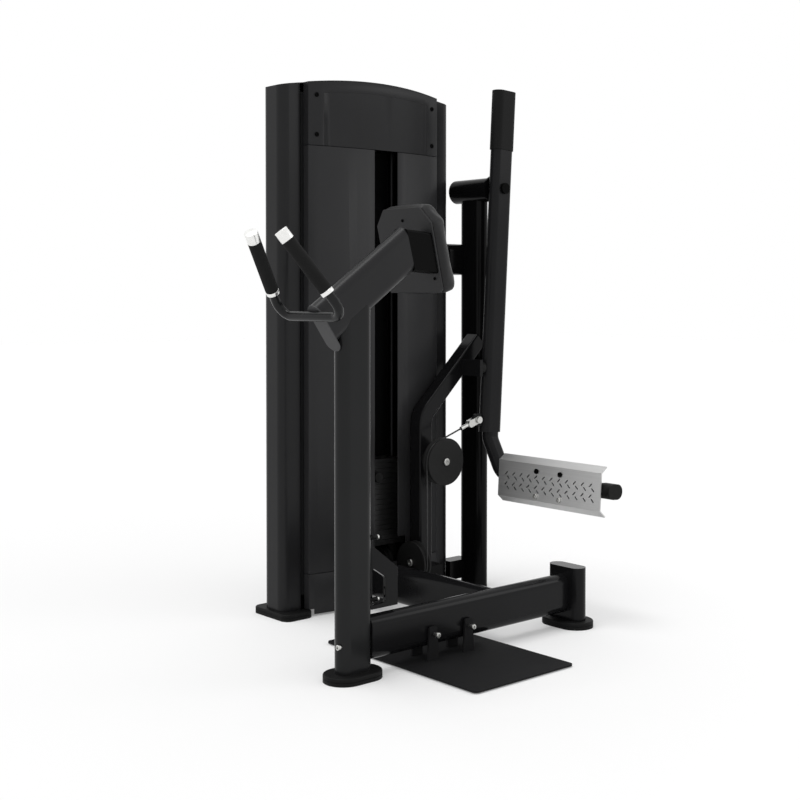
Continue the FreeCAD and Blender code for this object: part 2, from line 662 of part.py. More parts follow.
def step_plate():
    def draw(made):
        draw_box(made, "step_x0", "-step_half", "step_x1", "step_half", "step_round")
    keep("step_plate", slab("step_plate", "XY_Plane", "step_low", "step_low + step_thick", draw))
    lugs = []
    bolts = []
    for number_of, start in enumerate(("lug_x0", "lug_x1")):
        for side in ("near", "far"):
            def lug_draw(made):
                draw_outline(made, [
                    (start + " - lug_flare", "step_low + step_thick"),
                    (start + " + lug_wide + lug_flare", "step_low + step_thick"),
                    (start + " + lug_wide", "lug_high"), (start, "lug_high")],
                    [None, None, "lug_flare", "lug_flare"])
            name = side + str(number_of)
            middle = start + " + lug_wide / 2"
            if side == "near":
                low, high = "-(lug_near + lug_thick)", "-lug_near"
                shank_y, head_y = "-(step_head_y - step_head_long)", "-step_head_y"
            else:
                low, high = "lug_near", "lug_near + lug_thick"
                shank_y, head_y = "oval_short / 2", "step_head_y - step_head_long"
            lug = slab("lug_" + name, "XZ_Plane", low, high, lug_draw)
            shank = rod("step_shank_" + name, "y", middle, shank_y, "step_bolt_z", "step_bolt_radius",
                        "step_head_y - step_head_long - oval_short / 2")
            head = rod("step_head_" + name, "y", middle, head_y, "step_bolt_z", "step_head_radius",
                       "step_head_long")
            lugs.append(cut("lug_bored_" + name, lug, shank))
            bolts += [shank, head]
    keep("step_brackets", join("step_brackets", *lugs))
    keep("step_bolts", join("step_bolts", *bolts))


step_plate()

# tower columns
LEFT = "(tower_x - tower_half)"
RIGHT = "(tower_x + tower_half)"
FRONT = "(tower_y - tower_deep_half)"
BACK = "(tower_y + tower_deep_half)"


def column_outline(x0, x1, rounds, inset="0"):
    def draw(made):
        near = x0 + " + " + inset
        far = x1 + " - " + inset
        front = FRONT + " + " + inset
        back = BACK + " - " + inset
        draw_outline(made, [(near, front), (far, front), (far, back), (near, back)],
                     rounds)
    return draw


crown_under = rod("crown_under", "y", "tower_x", FRONT + " - 2 * overrun", "crown_z - crown_radius",
                  "crown_radius - cap_thick", "6 * overrun")
crown_over = rod("crown_over", "y", "tower_x", FRONT + " - 2 * overrun", "crown_z - crown_radius",
                 "crown_radius", "6 * overrun")
FORMS = {}


def tower_columns():
    for side, x0, x1, turn in (("left", LEFT, LEFT + " + post_wide", [0, 3]),
                               ("right", RIGHT + " - post_wide", RIGHT, [1, 2])):
        outer = ["post_round" if corner in turn else "post_small_round" for corner in range(4)]
        inner = ["post_round - wall" if corner in turn else None for corner in range(4)]
        form = slab(side + "_form", "XY_Plane", "foot_thick", "crown_z", column_outline(x0, x1, outer))
        core = slab(side + "_core", "XY_Plane", "0", "crown_z + overrun",
                    column_outline(x0, x1, inner, "wall"))
        FORMS[side] = form
        shell = cut(side + "_shell", form, core)
        keep(side + "_column", meet(side + "_column", shell, crown_under))


tower_columns()

BOW = "((panel_half ^ 2 + panel_sag ^ 2) / (2 * panel_sag))"
BOW_Y = "(tower_y - tower_deep_half - panel_return - panel_sag + %s)" % BOW


def draw_bow(shrink, back):
    # plan of a bowed cover: two sides, a bowed front and an open back line
    def draw(made):
        half = "(panel_half - %s)" % shrink
        radius = "(%s - %s)" % (BOW, shrink)
        end = "(%s - sqrt(%s ^ 2 - %s ^ 2))" % (BOW_Y, radius, half)
        left = number("tower_x - " + half)
        right = number("tower_x + " + half)
        low = number(end)
        rear = number(back)
        crest = number(BOW_Y + " - " + radius)
        made.addGeometry(Part.LineSegment(V(left, rear, 0), V(left, low, 0)), False)
        made.addGeometry(Part.Arc(V(left, low, 0), V(number("tower_x"), crest, 0), V(right, low, 0)), False)
        made.addGeometry(Part.LineSegment(V(right, low, 0), V(right, rear, 0)), False)
        made.addGeometry(Part.LineSegment(V(right, rear, 0), V(left, rear, 0)), False)
        for first, second in (((0, 2), (1, 1)), ((1, 2), (2, 1)), ((2, 2), (3, 1)), ((3, 2), (0, 1))):
            made.addConstraint(Sketcher.Constraint("Coincident", *first, *second))
        pin_point(made, (0, 1), "tower_x - " + half, back)
        pin_point(made, (0, 2), "tower_x - " + half, end)
        pin_point(made, (2, 1), "tower_x + " + half, end)
        pin_point(made, (2, 2), "tower_x + " + half, back)
        pin(made, "Radius", (1,), radius)
    return draw


def bowed_shell(name, low, high):
    outer = slab(name + "_outer", "XY_Plane", low, high, draw_bow("0", FRONT))
    inner = slab(name + "_inner", "XY_Plane", low + " - overrun", high + " + overrun",
                 draw_bow("sheet_thick", FRONT + " + overrun"))
    return outer, inner


def head_panel():
    outer, inner = bowed_shell("head", "head_low", "crown_z")
    shell = meet("head_shell", cut("head_hollow", outer, inner), crown_under)
    window = block("recess_block", "recess_x0", "recess_x1", FRONT + " - 2 * overrun", FRONT,
                   "head_low - overrun", "crown_z")
    arch = rod("recess_arch", "y", "tower_x", FRONT + " - 2 * overrun", "crown_z - crown_radius",
               "crown_radius - recess_drop", "6 * overrun")
    floor = slab("recess_floor", "XY_Plane", "head_low - 2 * overrun", "crown_z + overrun",
                 draw_bow("recess_deep", FRONT + " + overrun"))
    recess = cut("recess", meet("recess_arched", window, arch), floor)
    keep("head_panel", cut("head_panel", shell, recess))
    heads = []
    for side in ("-", "+"):
        for row in ("high", "low"):
            x = "tower_x %s (panel_half - head_screw_x)" % side
            heads.append(rod("head_screw", "y", x, BOW_Y + " - " + BOW, "head_screw_" + row,
                             "head_screw_radius", "panel_sag + sheet_thick"))
    face = slab("screw_face", "XY_Plane", "head_low - overrun", "crown_z + overrun",
                draw_bow("0", FRONT + " + overrun"))
    grown = slab("screw_limit", "XY_Plane", "head_low", "crown_z", draw_bow("(-head_screw_thick)", FRONT))
    keep("head_screws", cut("head_screws", meet("screw_slice", join("screw_set", *heads), grown), face))


head_panel()


def shrouds():
    top = "(head_low - seam_gap)"
    outer, inner = bowed_shell("shroud", "shroud_low", top)
    shell = cut("shroud_shell", outer, inner)
    link = oval_tube("link_room", "XZ_Plane", "base_end / 2", FRONT + " + overrun", "link_x", BEAM_MID,
                     "beam_tall + 2 * link_gap", "oval_short + 2 * link_gap", True, True)
    wide = (FRONT + " - 2 * overrun", FRONT + " + overrun")
    left = block("left_half", "tower_x - panel_half - overrun", "slot_x0", *wide, "0", top)
    right = block("right_half", "slot_x1", "tower_x + panel_half + overrun", *wide, "0", top)
    notch = block("sheave_notch", "notch_x0", "shoe_cheek", *wide, "0", "notch_high")
    stay = block("stay_notch", "notch_x0", "notch_x1", *wide, "0", "stay_high + link_gap")
    keep("left_shroud", cut("left_shroud", meet("left_side", shell, left), link))
    keep("right_shroud", cut("right_shroud", meet("right_side", shell, right), notch))
    outer, inner = bowed_shell("plinth", "plinth_low", "shroud_low - seam_gap")
    sides = (("left", LEFT, LEFT + " + post_wide + strip_wide"),
             ("right", RIGHT + " - post_wide - strip_wide", RIGHT))
    rooms = [block(side + "_foot_room", low, high, *wide, "0", "foot_thick + seam_gap")
             for side, low, high in sides]
    keep("front_plinth", cut("front_plinth", cut("plinth_shell", outer, inner), link, notch, stay, *rooms))
    rear_outer, rear_inner = bowed_shell("rear", "plinth_low", "crown_z")
    whole = []
    for body in (rear_outer, rear_inner):
        whole.append(place(body, "2 * tower_x", "2 * tower_y", "0", (0, 0, 1), "2 * right_angle"))
    behind = (BACK + " - overrun", BACK + " + 2 * overrun")
    corners = [block(side + "_rear_room", low, high, *behind, "0", "foot_thick + seam_gap")
               for side, low, high in sides]
    keep("rear_cover", meet("rear_cover", cut("rear_shell", *whole, *corners), crown_under))


shrouds()


def cover_strips():
    # flat bars on the columns' inner sides carry the edges of the covers
    near = LEFT + " + post_wide + strip_wide"
    far = RIGHT + " - post_wide - strip_wide"
    strips = []
    for side, y0 in (("front", FRONT), ("rear", BACK + " - frame_thick")):
        span = (y0, y0 + " + frame_thick", "frame_low", "frame_top")
        strips.append(block(side + "_left_bar", LEFT + " + post_wide", near, *span))
        strips.append(block(side + "_right_bar", far, RIGHT + " - post_wide", *span))
    keep("cover_strips", join("cover_strips", *strips))


cover_strips()


def tower_cap():
    span = ("XY_Plane", "crown_z - 2 * overrun", "crown_z")
    plan = slab("cap_plan", *span, column_outline(LEFT, RIGHT, ["post_round"] * 4))
    front = slab("cap_front", *span, draw_bow("0", FRONT))
    rear = slab("cap_rear", *span, draw_bow("0", FRONT))
    place(rear, "2 * tower_x", "2 * tower_y", "0", (0, 0, 1), "2 * right_angle")
    whole = meet("cap_whole", join("cap_set", plan, front, rear), crown_over)
    keep("tower_cap", cut("tower_cap", whole, crown_under))


tower_cap()


def tower_feet():
    for side, middle in (("left", LEFT + " + post_wide / 2 + pier_shift"),
                         ("right", RIGHT + " - post_wide / 2 - pier_shift")):
        def outline(grow):
            def draw(made):
                draw_box(made, middle + " - pier_half - " + grow, "pier_front - " + grow,
                         middle + " + pier_half + " + grow, "pier_back + " + grow, "pier_round + " + grow)
            return draw
        rubber_foot(side + "_tower_foot", outline("0"), outline("(-groove_deep)"), outline("foot_round"))


tower_feet()


def hollow_block(name, axis, *limits):
    outer = block(name + "_outer", *limits)
    inner = list(limits)
    for letter, pair in (("x", 0), ("y", 2), ("z", 4)):
        sign = "-" if letter == axis else "+"
        inner[pair] = "(%s) %s wall" % (limits[pair], sign)
        inner[pair + 1] = "(%s) %s wall" % (limits[pair + 1], "+" if sign == "-" else "-")
    return cut(name, outer, block(name + "_inner", *inner))


LOW_X = "(sheave_x - sheave_groove)"
BACK_X = "(%s - stack_x)" % LOW_X
BACK_Y = "(back_cable_y - stack_y)"


def tower_beams():
    x0 = LEFT + " + post_wide"
    x1 = RIGHT + " - post_wide"
    keep("tower_base_beam", hollow_block("tower_base_beam", "x", x0, x1, "tower_beam_y0", "tower_beam_y1",
                                         "tower_beam_low", "tower_beam_high"))
    beam = hollow_block("top_beam_tube", "x", x0, x1, "tower_beam_y0", "tower_beam_y1",
                        "top_beam_low", "top_beam_high")
    hole = rod("stack_cable_hole", "z", "stack_x", "stack_y", "top_beam_low - overrun", "axle_radius",
               "3 * overrun")
    keep("tower_top_beam", cut("tower_top_beam", beam, hole))
    rods = [rod("guide_" + name, "z", "stack_x %s guide_off" % sign, "stack_y", "tower_beam_high",
                "guide_radius", "top_beam_low - tower_beam_high")
            for name, sign in (("left", "-"), ("right", "+"))]
    keep("guide_rods", join("guide_rods", *rods))
    buffers = [rod("buffer_" + name, "z", "stack_x %s guide_off" % sign, "stack_y", "tower_beam_high",
                   "buffer_radius", "buffer_high") for name, sign in (("left", "-"), ("right", "+"))]
    keep("stack_buffers", cut("stack_buffers", join("buffer_pair", *buffers), join("guide_pair", *rods)))


tower_beams()

STACK_LOW = "(tower_beam_high + buffer_high)"
LIFT_LOW = "(%s + resting_count * plate_pitch)" % STACK_LOW


def plate_draw(inset):
    def draw(made):
        draw_box(made, "stack_x - plate_half_x + " + inset, "stack_y - plate_half_y + " + inset,
                 "stack_x + plate_half_x - " + inset, "stack_y + plate_half_y - " + inset)
        draw_circle(made, "stack_x - guide_off", "stack_y", "guide_radius + guide_gap")
        draw_circle(made, "stack_x + guide_off", "stack_y", "guide_radius + guide_gap")
        draw_circle(made, "stack_x", "stack_y", "stem_radius + stem_gap")
    return draw


def plate_pile(name, low, count):
    # one plate and its narrow seam, repeated upward
    body = new_body(name)
    plate = new_sketch(body, "XY_Plane", low)
    plate_draw("0")(plate)
    first = pad_up(body, plate, "plate_body")
    seam = new_sketch(body, "XY_Plane", low + " + plate_body")
    plate_draw("plate_inset")(seam)
    second = pad_up(body, seam, "plate_pitch - plate_body")
    doc.recompute()
    pattern = body.newObject("PartDesign::LinearPattern", name + "_pile")
    pattern.Originals = [first, second]
    axis = [item for item in body.Origin.OriginFeatures if item.Role == "Z_Axis"][0]
    pattern.Direction = (axis, [""])
    bind(pattern, "Length", "(%s - 1) * plate_pitch" % count)
    bind(pattern, "Occurrences", count)
    body.Tip = pattern
    return body


def weight_stack():
    keep("resting_plates", plate_pile("resting_plates", STACK_LOW, "resting_count"))
    pile = plate_pile("lifted_pile", LIFT_LOW, "lifted_count")
    top = slab("top_plate", "XY_Plane", LIFT_LOW + " + lifted_count * plate_pitch",
               LIFT_LOW + " + lifted_count * plate_pitch + top_plate_thick", plate_draw("0"))
    bore = rod("pin_bore", "y", "stack_x", "stack_y - plate_half_y - overrun",
               LIFT_LOW + " + plate_body / 2", "pin_radius + pin_gap",
               "overrun + plate_half_y + pin_deep")
    stem_low = STACK_LOW + " + wall"
    stem_high = "(%s + lifted_count * plate_pitch + top_plate_thick + stem_above)" % LIFT_LOW
    stem = rod("stem_rod", "z", "stack_x", "stack_y", stem_low, "stem_radius",
               "%s - (%s)" % (stem_high, stem_low))
    collar = rod("stem_collar", "z", "stack_x", "stack_y",
                 LIFT_LOW + " + lifted_count * plate_pitch + top_plate_thick",
                 "stem_radius + wall + wall", "stem_above / 2")
    keep("lifted_plates", cut("lifted_plates", join("lifted_set", pile, top), bore))
    keep("stack_stem", cut("stack_stem", join("stem_set", stem, collar), bore))
    shank = rod("pin_shank", "y", "stack_x", "stack_y - plate_half_y", LIFT_LOW + " + plate_body / 2",
                "pin_radius", "plate_half_y + pin_deep - wall")
    pin_z = LIFT_LOW + " + plate_body / 2"
    knob = rod("pin_knob", "y", "stack_x", "stack_y - plate_half_y - knob_long", pin_z,
               "knob_radius", "knob_long")
    keep("selector_pin", join("selector_pin", shank, knob))
    keep("stack_cable", rod("stack_cable", "z", "stack_x", "stack_y", stem_high, "cable_radius",
                            "top_sheave_z - " + stem_high))


weight_stack()

# upright post with its pad and the two ties to the tower
post_form = oval_tube("post_form", "XY_Plane", "post_low", "pivot_z", "post_x", "post_y",
                      "oval_long", "oval_short", True, True)
post_tube = oval_tube("post_tube", "XY_Plane", "post_low", "pivot_z", "post_x", "post_y",
                      "oval_long", "oval_short", True)
hub_form = rod("hub_form", "y", "pivot_x", "hub_front - overrun", "pivot_z", "hub_radius", "4 * overrun")


def upright():
    keep("upright_post", cut("upright_post", post_tube, hub_form))
    keep("upright_pad", oval_tube("upright_pad", "XY_Plane", "0", "post_low", "post_x", "post_y",
                                  "oval_long", "oval_short", True, True))
    tie = hollow_block("tie_tube", "x", "tie_start", "post_x", "tie_y - oval_short / 2",
                       "tie_y + oval_short / 2", "tie_low", "tie_high")
    keep("upright_base_tie", cut("upright_base_tie", tie, FORMS["right"], post_form))
    cross = oval_tube("cross_tube", "YZ_Plane", "tie_start", "post_x", "tie_y", "cross_low + oval_long / 2",
                      "oval_long", "oval_short", True)
    keep("cross_beam", cut("cross_beam", cross, FORMS["right"], post_form))


upright()


def ring(name, low, high, outer, inner):
    def draw(made):
        draw_circle(made, "pivot_x", "pivot_z", outer)
        draw_circle(made, "pivot_x", "pivot_z", inner)
    return slab(name, "XZ_Plane", low, high, draw)


ARM_FACE = "(arm_y - arm_thick / 2)"
ARM_BACK = "(arm_y + arm_thick / 2)"


def pivot_hub():
    flange = ring("hub_flange", "hub_front", "hub_front + flange_thick", "flange_radius", "bearing_radius")
    barrel = ring("hub_barrel", "hub_front", "hub_back", "hub_radius", "bearing_radius")
    keep("pivot_hub", join("pivot_hub", barrel, flange))
    bore = "bearing_bore + bore_gap"
    front = ring("bearing_front", "hub_front", "hub_front + bearing_long", "bearing_radius", bore)
    back = ring("bearing_back", "hub_back - bearing_long", "hub_back", "bearing_radius", bore)
    keep("pivot_bearings", join("pivot_bearings", front, back))
    shaft = rod("shaft", "y", "pivot_x", ARM_FACE, "pivot_z", "bearing_bore",
                "hub_back + fit_gap + shaft_end - " + ARM_FACE)
    shoulder = rod("shoulder", "y", "pivot_x", ARM_BACK, "pivot_z", "bearing_bore + shaft_end",
                   "hub_front - fit_gap - " + ARM_BACK)
    tail = rod("tail", "y", "pivot_x", "hub_back + fit_gap", "pivot_z", "bearing_bore + shaft_end",
               "shaft_end")
    keep("pivot_shaft", join("pivot_shaft", shaft, shoulder, tail))
    keep("pivot_cap", rod("pivot_cap", "y", "pivot_x", ARM_FACE + " - hinge_cap_long", "pivot_z",
                          "hinge_cap_radius", "hinge_cap_long"))


pivot_hub()


# swing arm: modelled hanging from the pivot, then turned by its tilt at rest
def on_arm(body):
    return place(body, "pivot_x", "0", "pivot_z", (0, 1, 0), "arm_tilt")


arm_form = on_arm(oval_tube("arm_form", "XY_Plane", "-arm_down", "arm_up", "0", "arm_y",
                            "arm_wide", "arm_thick", False, True))


def bar_draw(middle, grow):
    # the foot bar's flat oval, its wide way along X
    return oval_draw("bar_shift", middle, "bar_wide", "bar_thick", False, grow)


def swing_arm():
    tube = on_arm(oval_tube("arm_tube", "XY_Plane", "-arm_down", "arm_up", "0", "arm_y",
                            "arm_wide", "arm_thick", False))
    foot = on_arm(oval_tube("arm_end", "XY_Plane", "-arm_down", "wall - arm_down", "0", "arm_y",
                            "arm_wide", "arm_thick", False, True))
    hole = rod("arm_bore", "y", "pivot_x", ARM_FACE + " - overrun", "pivot_z", "bearing_bore",
               "3 * overrun")
    keep("swing_arm", cut("swing_arm", join("arm_set", tube, foot), hole))
    outer = on_arm(slab("sleeve_outer", "XY_Plane", "sleeve_from", "sleeve_top",
                        oval_draw("0", "arm_y", "arm_wide", "arm_thick", False, "sleeve_grow")))
    keep("arm_sleeve", cut("arm_sleeve", outer, arm_form))
    low = "-bar_low"
    bar = swept("foot_bar", "YZ_Plane",
                [("arm_y", "-arm_down"), ("arm_y", "-bar_bend_low"),
                 ("bar_second_y", low), ("bar_end_y", low)],
                [None, "bar_bend_one", "bar_bend_two", None], "XY_Plane", "-arm_down",
                lambda made: (bar_draw("arm_y", "0")(made), bar_draw("arm_y", "-wall")(made)))
    keep("foot_bar", on_arm(bar))

    bar_line = on_arm(slab("bar_line", "XZ_Plane", "bar_end_y", "bar_second_y", bar_draw(low, "0")))
    cap = on_arm(slab("cap_outer", "XZ_Plane", "bar_end_y - wall", "bar_cap_y",
                      bar_draw(low, "bar_cap_thick")))
    keep("bar_end_cap", cut("bar_end_cap", cap, bar_line))
    return bar_line


bar_line = swing_arm()


def tread_outline(made):
    length = "sqrt(flange_back ^ 2 + flange_out ^ 2)"
    shift_x = "tread_thick * flange_out / " + length
    shift_z = "tread_thick * flange_back / " + length
    inner = "tread_thick * tan(atan(flange_back / flange_out) / 2)"
    face = "-tread_front"
    rear = "tread_thick - tread_front"
    tip = "flange_back - tread_front"
    draw_outline(made, [
        (face, "-tread_top"), (tip, "flange_out - tread_top"),
        (tip + " + " + shift_x, "flange_out - tread_top - " + shift_z), (rear, "-tread_top - " + inner),
        (rear, "-tread_low + " + inner), (tip + " + " + shift_x, "-flange_out - tread_low + " + shift_z),
        (tip, "-flange_out - tread_low"), (face, "-tread_low")])


def tread_slots(body):
    made = new_sketch(body, "YZ_Plane", "-mount_back")
    for row in ("-slot_row_z", "-slot_row_z - slot_row_step"):
        draw_slot(made, ("slot_first_y + slot_half", row + " - slot_half"),
                  ("slot_first_y - slot_half", row + " + slot_half"), "slot_radius")
        lower = row + " - slot_drop"
        draw_slot(made, ("slot_second_y - slot_half", lower + " - slot_half"),
                  ("slot_second_y + slot_half", lower + " + slot_half"), "slot_radius")
    pocket = body.newObject("PartDesign::Pocket", "tread_slot")
    pocket.Profile = made
    bind(pocket, "Length", "mount_back")
    doc.recompute()
    pattern = body.newObject("PartDesign::LinearPattern", "tread_slots")
    pattern.Originals = [pocket]
    axis = [item for item in body.Origin.OriginFeatures if item.Role == "Y_Axis"][0]
    pattern.Direction = (axis, [""])
    pattern.Reversed = True
    bind(pattern, "Length", "(slot_count - 1) * slot_pitch")
    bind(pattern, "Occurrences", "slot_count")
    body.Tip = pattern


def four_circles(size):
    def draw(made):
        for y in ("tread_bolt_y0", "tread_bolt_y1"):
            for z in ("-tread_bolt_top", "-tread_bolt_low"):
                draw_circle(made, y, z, size)
    return draw


def footplate():
    body = slab("tread_form", "XZ_Plane", "tread_y0", "tread_y1", tread_outline)
    tread_slots(body)
    on_arm(body)
    shank = on_arm(slab("tread_shank", "YZ_Plane", "-tread_front - overrun", "-mount_back + overrun",
                        four_circles("tread_bolt_radius")))
    keep("footplate", cut("footplate", body, shank))

    def mount_draw(made):
        draw_box(made, "mount_mid_y - mount_half_y", "-tread_mid - mount_half_z",
                 "mount_mid_y + mount_half_y", "-tread_mid + mount_half_z")
    plate = on_arm(slab("mount_form", "YZ_Plane", "tread_thick - tread_front", "-mount_back", mount_draw))
    keep("footplate_mount", cut("footplate_mount", plate, shank, bar_line))
    heads = on_arm(slab("tread_heads", "YZ_Plane", "-tread_front - tread_head_long", "-tread_front",
                        four_circles("tread_head_radius")))
    middle = on_arm(slab("tread_middle", "YZ_Plane", "-tread_front", "-mount_back",
                         four_circles("tread_bolt_radius")))
    nuts = on_arm(slab("tread_nuts", "YZ_Plane", "-mount_back", "tread_nut_long - mount_back",
                       four_circles("tread_head_radius")))
    keep("footplate_bolts", join("footplate_bolts", heads, middle, nuts))


footplate()

# cable lug on the arm and the rod end on it
LUG_X = "(pivot_x - lug_back * cos(arm_tilt) - lug_down * sin(arm_tilt))"
LUG_Z = "(pivot_z + lug_back * sin(arm_tilt) - lug_down * cos(arm_tilt))"


def on_rod_end(body):
    # local X points down the cable
    return place(body, LUG_X, "0", LUG_Z, (0, 1, 0), "2 * right_angle - cable_angle")


LUG_DEEP = "(lug_plate / 2 + fit_gap)"


def cable_lug():
    def draw(made):
        draw_slot(made, ("-lug_back", "-lug_down"), ("-arm_wide / 4", "-lug_down"), "lug_radius")
    plate = on_arm(slab("lug_form", "XZ_Plane", "arm_y - lug_plate / 2", "arm_y + lug_plate / 2", draw))
    bore = rod("lug_bore", "y", LUG_X, "arm_y - overrun", LUG_Z, "lug_bolt_radius", "2 * overrun")
    loose = rod("lug_hole", "y", LUG_X, "arm_y - overrun", LUG_Z, "lug_bolt_radius + fit_gap",
                "2 * overrun")
    keep("cable_lug", cut("cable_lug", plate, arm_form, loose))

    def cheek(made):
        draw_slot(made, ("0", "0"), ("fork_long", "0"), "fork_wide")
    sides = []
    for name, low, high in (("near", "arm_y - %s - fork_thick" % LUG_DEEP, "arm_y - " + LUG_DEEP),
                            ("far", "arm_y + " + LUG_DEEP, "arm_y + %s + fork_thick" % LUG_DEEP)):
        sides.append(on_rod_end(slab("fork_" + name, "XZ_Plane", low, high, cheek)))
    web = on_rod_end(slab("fork_web", "XZ_Plane", "arm_y - %s - fork_thick" % LUG_DEEP,
                          "arm_y + %s + fork_thick" % LUG_DEEP,
                          lambda made: draw_box(made, "web_from", "-fork_wide", "web_to", "fork_wide")))
    stud = on_rod_end(slab("fork_stud", "YZ_Plane", "web_to", "lug_reach",
                           lambda made: draw_circle(made, "arm_y", "0", "rod_radius")))
    keep("rod_end", cut("rod_end", join("rod_end_set", *sides, web, stud), bore))
    head = rod("lug_head", "y", LUG_X, "arm_y - %s - fork_thick - lug_head_long" % LUG_DEEP, LUG_Z,
               "lug_head_radius", "lug_head_long")
    shank = rod("lug_shank", "y", LUG_X, "arm_y - %s - fork_thick" % LUG_DEEP, LUG_Z, "lug_bolt_radius",
                "2 * (%s + fork_thick)" % LUG_DEEP)
    nut = rod("lug_nut", "y", LUG_X, "arm_y + %s + fork_thick" % LUG_DEEP, LUG_Z, "lug_head_radius",
              "lug_head_long")
    keep("rod_end_bolt", join("rod_end_bolt", head, shank, nut))
    span = "sqrt((%s - sheave_x) ^ 2 + (%s - sheave_z) ^ 2 - sheave_groove ^ 2)" % (LUG_X, LUG_Z)
    keep("arm_cable", on_rod_end(slab("arm_cable", "YZ_Plane", "lug_reach", span + " - fit_gap",
                                      lambda made: draw_circle(made, "arm_y", "0", "cable_radius"))))


cable_lug()


def sheave(label, groove, radius):
    # a grooved wheel turned about its own Y axis
    body = new_body(label)
    made = new_sketch(body, "YZ_Plane")
    bore = "axle_radius + bore_gap"
    root = "(%s - cable_radius - fit_gap)" % groove
    draw_outline(made, [("-sheave_half", bore), ("sheave_half", bore), ("sheave_half", radius),
                        ("sheave_lip", radius), ("sheave_root", root), ("-sheave_root", root),
                        ("-sheave_lip", radius), ("-sheave_half", radius)])
    turned = body.newObject("PartDesign::Revolution", label + "_turned")
    turned.Profile = made
    turned.ReferenceAxis = (made, ["H_Axis"])
    return keep(label, body)


STRUT_FACE = "(strut_y - strut_half)"
INNER_Y = "(back_cable_y - inner_groove)"
INNER_Z = "(low_sheave_z - low_sheave_groove + inner_groove)"
TOP_GROOVE = "(sqrt(%s ^ 2 + %s ^ 2) / 2)" % (BACK_X, BACK_Y)
TOP_X = "(stack_x + %s / 2)" % BACK_X
TOP_Y = "(stack_y + %s / 2)" % BACK_Y
TOP_TURN = "atan(%s / %s)" % (BACK_Y, BACK_X)


def sheaves():
    place(sheave("upper_sheave", "sheave_groove", "sheave_radius"), "sheave_x", "arm_y", "sheave_z")
    place(sheave("lower_sheave", "low_sheave_groove", "low_sheave_radius"), LOW_X, "low_sheave_y",
          "low_sheave_z", (0, 0, -1), "right_angle")
    place(sheave("inner_sheave", "inner_groove", "inner_groove + groove_lip"), LOW_X, INNER_Y, INNER_Z,
          (0, 0, -1), "right_angle")
    place(sheave("top_sheave", TOP_GROOVE, TOP_GROOVE + " + groove_lip"), TOP_X, TOP_Y, "top_sheave_z",
          (0, 0, 1), TOP_TURN)


sheaves()

SIDE = "(sheave_half + fit_gap)"


def sheave_axles():
    x, y, z = "sheave_x", "arm_y", "sheave_z"
    near = "%s - %s" % (y, SIDE)
    far = "%s + %s" % (y, SIDE)
    parts = [
        rod("upper_head", "y", x, "%s - axle_head_long" % near, z, "axle_head_radius", "axle_head_long"),
        rod("upper_axle_rod", "y", x, near, z, "axle_radius", "%s - (%s)" % (STRUT_FACE, near)),
        rod("upper_spacer", "y", x, far, z, "spacer_radius", "%s - (%s)" % (STRUT_FACE, far))]
    keep("upper_axle", join("upper_axle", *parts))
    y, z = "low_sheave_y", "low_sheave_z"
    near = "%s - %s" % (LOW_X, SIDE)
    far = "%s + %s" % (LOW_X, SIDE)
    parts = [
        rod("lower_head", "x", "%s - axle_head_long" % near, y, z, "axle_head_radius", "axle_head_long"),
        rod("lower_axle_rod", "x", near, y, z, "axle_radius", "shoe_cheek - (%s)" % near),
        rod("lower_spacer", "x", far, y, z, "spacer_radius", "shoe_cheek - (%s)" % far)]
    keep("lower_axle", join("lower_axle", *parts))
    post = block("inner_bracket", "%s - flange_side" % near, near,
                 INNER_Y + " - oval_short / 2", INNER_Y + " + oval_short / 2", "tower_beam_high",
                 INNER_Z + " + spacer_radius")
    parts = [
        post,
        rod("inner_axle_rod", "x", near, INNER_Y, INNER_Z, "axle_radius", "2 * " + SIDE),
        rod("inner_head", "x", far, INNER_Y, INNER_Z, "axle_head_radius", "wall")]
    keep("inner_axle", join("inner_axle", *parts))
    plates = []
    spans = (("near", "-%s - hanger_thick" % SIDE, "-" + SIDE), ("far", SIDE, SIDE + " + hanger_thick"))
    for name, low, high in spans:
        def hanger_draw(made):
            draw_box(made, "-hanger_half", "top_beam_high - top_sheave_z", "hanger_half", "spacer_radius")
        plates.append(slab("hanger_" + name, "XZ_Plane", low, high, hanger_draw))
    pin_rod = slab("top_axle", "XZ_Plane", "-" + SIDE, SIDE,
                   lambda made: draw_circle(made, "0", "0", "axle_radius"))
    for body in plates + [pin_rod]:
        place(body, TOP_X, TOP_Y, "top_sheave_z", (0, 0, 1), TOP_TURN)
    keep("top_axle", join("top_hanger", *plates, pin_rod))


sheave_axles()


def wrap(name, x, y, z, radius, sweep, first, second):
    # cable bent round a wheel from one direction to the next
    obj = doc.addObject("Part::Torus", name)
    third = V(*first).cross(V(*second))
    obj.Placement = FreeCAD.Placement(V(), FreeCAD.Rotation(V(*first), V(*second), third, "XYZ"))
    bind(obj, "Radius1", radius)
    bind(obj, "Radius2", "cable_radius")
    bind(obj, "Angle3", sweep)
    return place(obj, x, y, z)


